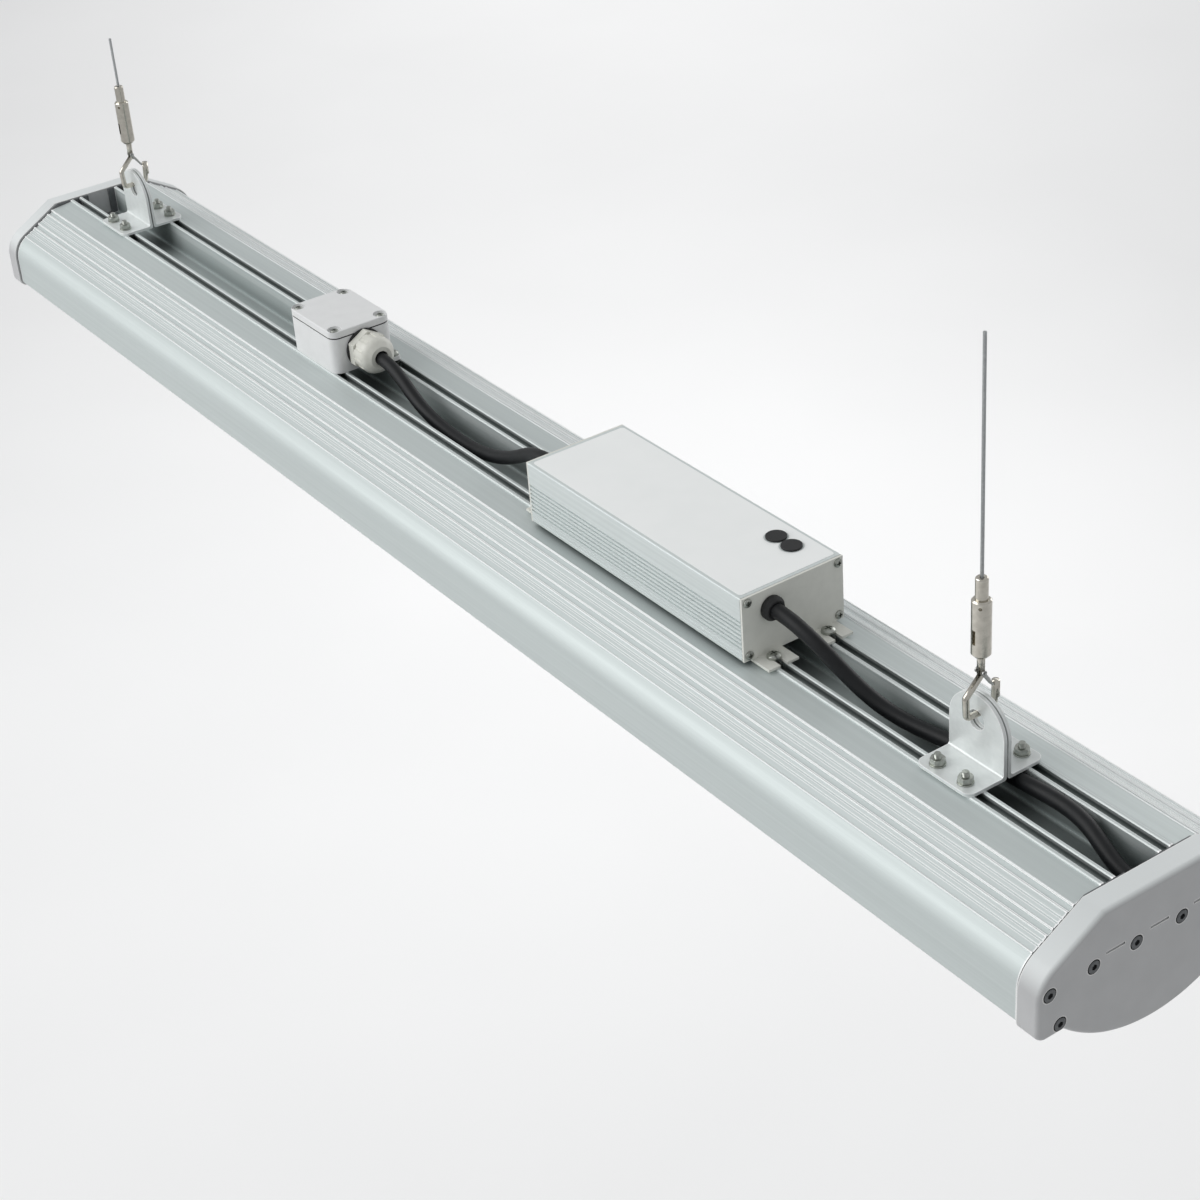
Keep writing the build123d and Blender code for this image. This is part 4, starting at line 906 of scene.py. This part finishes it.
@dataclass(frozen=True)
class SlotBolts:
    """The bracket bolts, with a rolled thread on each stud, and their washers and nuts."""

    nut_edge_mm: float = 0.15
    head_side: float = 6.6 * MM
    head_height: float = 2.6 * MM
    head_edge: float = 0.3 * MM
    core_radius: float = 1.62 * MM
    crest_radius: float = 1.95 * MM
    pitch: float = 0.7 * MM
    steps_per_turn: int = 18
    rows_per_turn: int = 4
    runout: float = 0.5 * MM

    def build(self) -> None:
        """Builds the bolts and dresses the washers and nuts on them."""
        self._bolts()
        for node in ("bracket_washers", "bracket_nuts"):
            dress(node, ZINC_PLATED_STEEL, self.nut_edge_mm)

    def _bolts(self) -> None:
        """Builds all the bolts as one piece that stands for the plain ones."""
        low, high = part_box("bracket_bolts")
        form = bmesh.new()
        half = self.head_side / 2
        columns = []
        for end in ("near", "far"):
            bracket_low, bracket_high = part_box(f"{end}_rear_bracket")
            middle = (bracket_low.x + bracket_high.x) / 2
            offset = high.x - half - middle if end == "near" else middle - low.x - half
            columns += [middle - offset, middle + offset]
        for x in columns:
            for y in (low.y + half, high.y - half):
                self._head(form, Vector((x, y, low.z)))
                self._stud(form, Vector((x, y, low.z + self.head_height)), high.z)
        stands_for = ["bracket_bolts"]
        add_piece("bracket_bolts_threaded", form, ZINC_PLATED_STEEL, Body.FIXTURE, stands_for)

    def _head(self, form: bmesh.types.BMesh, foot: Vector) -> None:
        """Adds one square head, with its edges broken.

        Args:
            form: the form it goes into.
            foot: the middle of its underside.
        """
        place = Matrix.Translation(foot + Vector((0, 0, self.head_height / 2)))
        size = Matrix.Diagonal((self.head_side, self.head_side, self.head_height, 1))
        verts = bmesh.ops.create_cube(form, size=1, matrix=place @ size)["verts"]
        edges = list({e for v in verts for e in v.link_edges})
        bmesh.ops.bevel(
            form,
            geom=edges,
            offset=self.head_edge,
            segments=ROUND_SEGMENTS,
            profile=ROUND_PROFILE,
            affect="EDGES",
        )

    def _stud(self, form: bmesh.types.BMesh, foot: Vector, top: float) -> None:
        """Adds one stud as a skin whose crest climbs in a helix.

        Args:
            form: the form it goes into.
            foot: the middle of its lower end.
            top: the height of its upper end.
        """
        length = top - foot.z
        per_turn = self.steps_per_turn
        rows = math.ceil(length / self.pitch) * self.rows_per_turn
        rings = []
        for row in range(rows + 1):
            z = length * row / rows
            ring = []
            for k in range(per_turn):
                share = (z / self.pitch - k / per_turn) % 1.0
                crest = 1 - abs(2 * share - 1)
                fade = min(1.0, (length - z) / self.runout)
                radius = self.core_radius + (self.crest_radius - self.core_radius) * crest * fade
                turn = 2 * math.pi * k / per_turn
                out = Vector((radius * math.cos(turn), radius * math.sin(turn), z))
                ring.append(form.verts.new(foot + out))
            rings.append(ring)
        join_rings(form, rings)


@dataclass(frozen=True)
class Suspension:
    """One suspension: two folded brackets, hook with its sprung gate, gripper and wire."""

    end: str
    hook_body: Body
    bracket_edge_mm: float = 0.3
    gate_edge_mm: float = 0.15
    pin_edge_mm: float = 0.1
    gripper_edge_mm: float = 0.2
    grip_above_collar: float = 0.3 * MM

    def build(self) -> None:
        """Dresses the suspension's CAD nodes and lays its wire."""
        for side in ("front", "rear"):
            dress(f"{self.end}_{side}_bracket", ZINC_PLATED_SHEET, self.bracket_edge_mm)
        dress(f"{self.end}_hook", BRIGHT_NICKEL)
        dress(f"{self.end}_hook_gate", SPRING_STEEL, self.gate_edge_mm)
        dress(f"{self.end}_gate_pin", SPRING_STEEL, self.pin_edge_mm)
        for part in ("body", "collar"):
            dress(f"{self.end}_gripper_{part}", BRIGHT_NICKEL, self.gripper_edge_mm)
        low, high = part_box(f"{self.end}_wire")
        middle = (low.x + high.x) / 2
        grip_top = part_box(f"{self.end}_gripper_collar")[1].z + self.grip_above_collar
        RopeWire(f"{self.end}_wire", self.hook_body, middle, low.z, high.z, grip_top).build()


@dataclass(frozen=True)
class Softbox:
    """A square soft lamp: where it hangs, what it is aimed at, its side, power and spread."""

    name: str
    place: Point
    aim: Point
    size: float
    power: float
    spread_deg: float = 180.0

    def build(self) -> None:
        """Hangs the lamp."""
        data = bpy.data.lights.new(self.name, "AREA")
        data.shape = "SQUARE"
        data.size = self.size
        data.energy = self.power
        data.spread = math.radians(self.spread_deg)
        lamp = bpy.data.objects.new(self.name, data)
        lamp.location = self.place
        gaze = Vector(self.aim) - Vector(self.place)
        lamp.rotation_euler = gaze.to_track_quat("-Z", "Y").to_euler()
        bpy.context.scene.collection.objects.link(lamp)


@dataclass(frozen=True)
class Studio:
    """The pale studio: floor, soft lights and the camera at the photograph's place."""

    camera_place: Point = (1.17945, -0.68125, 0.79732)
    camera_turn_deg: Point = (58.25599, 4.03666, 54.83275)
    lens_mm: float = 74.71
    sensor_mm: float = 36.0
    nearest: float = 0.01
    farthest: float = 100.0
    floor_level: float = -1.6
    floor_size: float = 40.0
    sky: str = "#f7f8f9"
    sky_strength: float = 0.53
    softboxes: tuple[Softbox, ...] = (
        Softbox("key_softbox", (-1.5, -2.7, 2.0), (0.0, 0.0, 0.05), 3.4, 84.0),
        Softbox("far_key_softbox", (-4.6, -3.2, 1.3), (-0.3, 0.0, 0.05), 2.4, 15.0),
        Softbox("rear_softbox", (-0.6, 2.9, 0.9), (0.0, 0.0, 0.05), 2.0, 24.0),
        Softbox("floor_light", (-2.2, 1.7, 2.4), (-2.2, 1.7, -1.6), 1.2, 9.0, 80.0),
        Softbox("far_floor_light", (-5.2, 3.8, 3.0), (-5.2, 3.8, -1.6), 2.4, 45.0, 110.0),
    )

    def build(self) -> None:
        """Builds the camera, floor, lights and sky."""
        self._camera()
        self._floor()
        for softbox in self.softboxes:
            softbox.build()
        world = bpy.data.worlds.new("studio_sky")
        world.use_nodes = True
        sky = world.node_tree.nodes["Background"]
        sky.inputs["Color"].default_value = linear(self.sky)
        sky.inputs["Strength"].default_value = self.sky_strength
        bpy.context.scene.world = world
        bpy.context.scene.view_settings.view_transform = "Standard"

    def _camera(self) -> None:
        """Places the camera."""
        data = bpy.data.cameras.new("photo_camera")
        data.lens = self.lens_mm
        data.sensor_width = self.sensor_mm
        data.clip_start = self.nearest
        data.clip_end = self.farthest
        camera = bpy.data.objects.new("photo_camera", data)
        camera.location = self.camera_place
        camera.rotation_euler = Euler([math.radians(a) for a in self.camera_turn_deg])
        bpy.context.scene.collection.objects.link(camera)
        bpy.context.scene.camera = camera

    def _floor(self) -> None:
        """Lays the pale floor, far enough below for a hanging light to cast no hard shadow."""
        mesh = bpy.data.meshes.new("pale_floor")
        half = self.floor_size / 2
        plan = ((-half, -half), (half, -half), (half, half), (-half, half))
        mesh.from_pydata([(x, y, self.floor_level) for x, y in plan], [], [(0, 1, 2, 3)])
        mesh.materials.append(BACKDROP_PAPER.material())
        floor = bpy.data.objects.new("pale_floor", mesh)
        bpy.context.scene.collection.objects.link(floor)


INPUT_LEAD = Lead(
    "driver_input_lead",
    (
        (-134.7, 0.0, 93.5),
        (-113.0, 0.0, 93.5),
        (-95.5, -0.6, 87.9),
        (-79.5, -1.2, 79.9),
        (-62.0, -1.6, 74.0),
        (-38.0, -2.1, 71.4),
        (-13.0, -2.6, 71.5),
        (10.0, -3.2, 75.2),
        (31.0, -4.2, 82.2),
        (49.0, -5.8, 91.0),
        (63.5, -8.0, 99.4),
        (77.0, -10.4, 105.2),
        (90.5, -12.0, 108.5),
        (104.0, -12.0, 108.5),
    ),
    length=0.2499,
)
OUTPUT_LEAD = Lead(
    "driver_output_lead",
    (
        (304.0, -15.0, 108.5),
        (317.0, -15.0, 108.5),
        (330.0, -14.2, 105.4),
        (341.5, -12.0, 99.5),
        (352.0, -8.4, 90.8),
        (362.5, -4.4, 82.2),
        (374.5, -0.4, 75.4),
        (388.5, 3.4, 71.8),
        (405.0, 6.6, 71.2),
        (425.0, 8.6, 73.0),
        (447.0, 9.0, 74.7),
        (466.0, 8.9, 75.3),
        (484.5, 9.0, 77.0),
        (500.5, 8.7, 77.6),
        (514.5, 7.2, 76.2),
        (526.5, 4.0, 73.4),
        (537.0, 1.6, 70.4),
        (547.5, 0.0, 69.0),
        (557.5, 0.0, 69.0),
    ),
    length=0.268,
)


def main() -> None:
    """Builds the light's looks in order."""
    logging.basicConfig(level=logging.INFO, format="%(name)s: %(message)s")
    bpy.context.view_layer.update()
    Studio().build()
    INPUT_LEAD.build()
    OUTPUT_LEAD.build()
    LightBody().build()
    EndCaps().build()
    Driver().build()
    JunctionBox().build()
    SlotBolts().build()
    Suspension("near", Body.NEAR_SUSPENSION).build()
    Suspension("far", Body.FAR_SUSPENSION).build()
    LOG.info("sizes written")


if __name__ == "__main__":
    main()
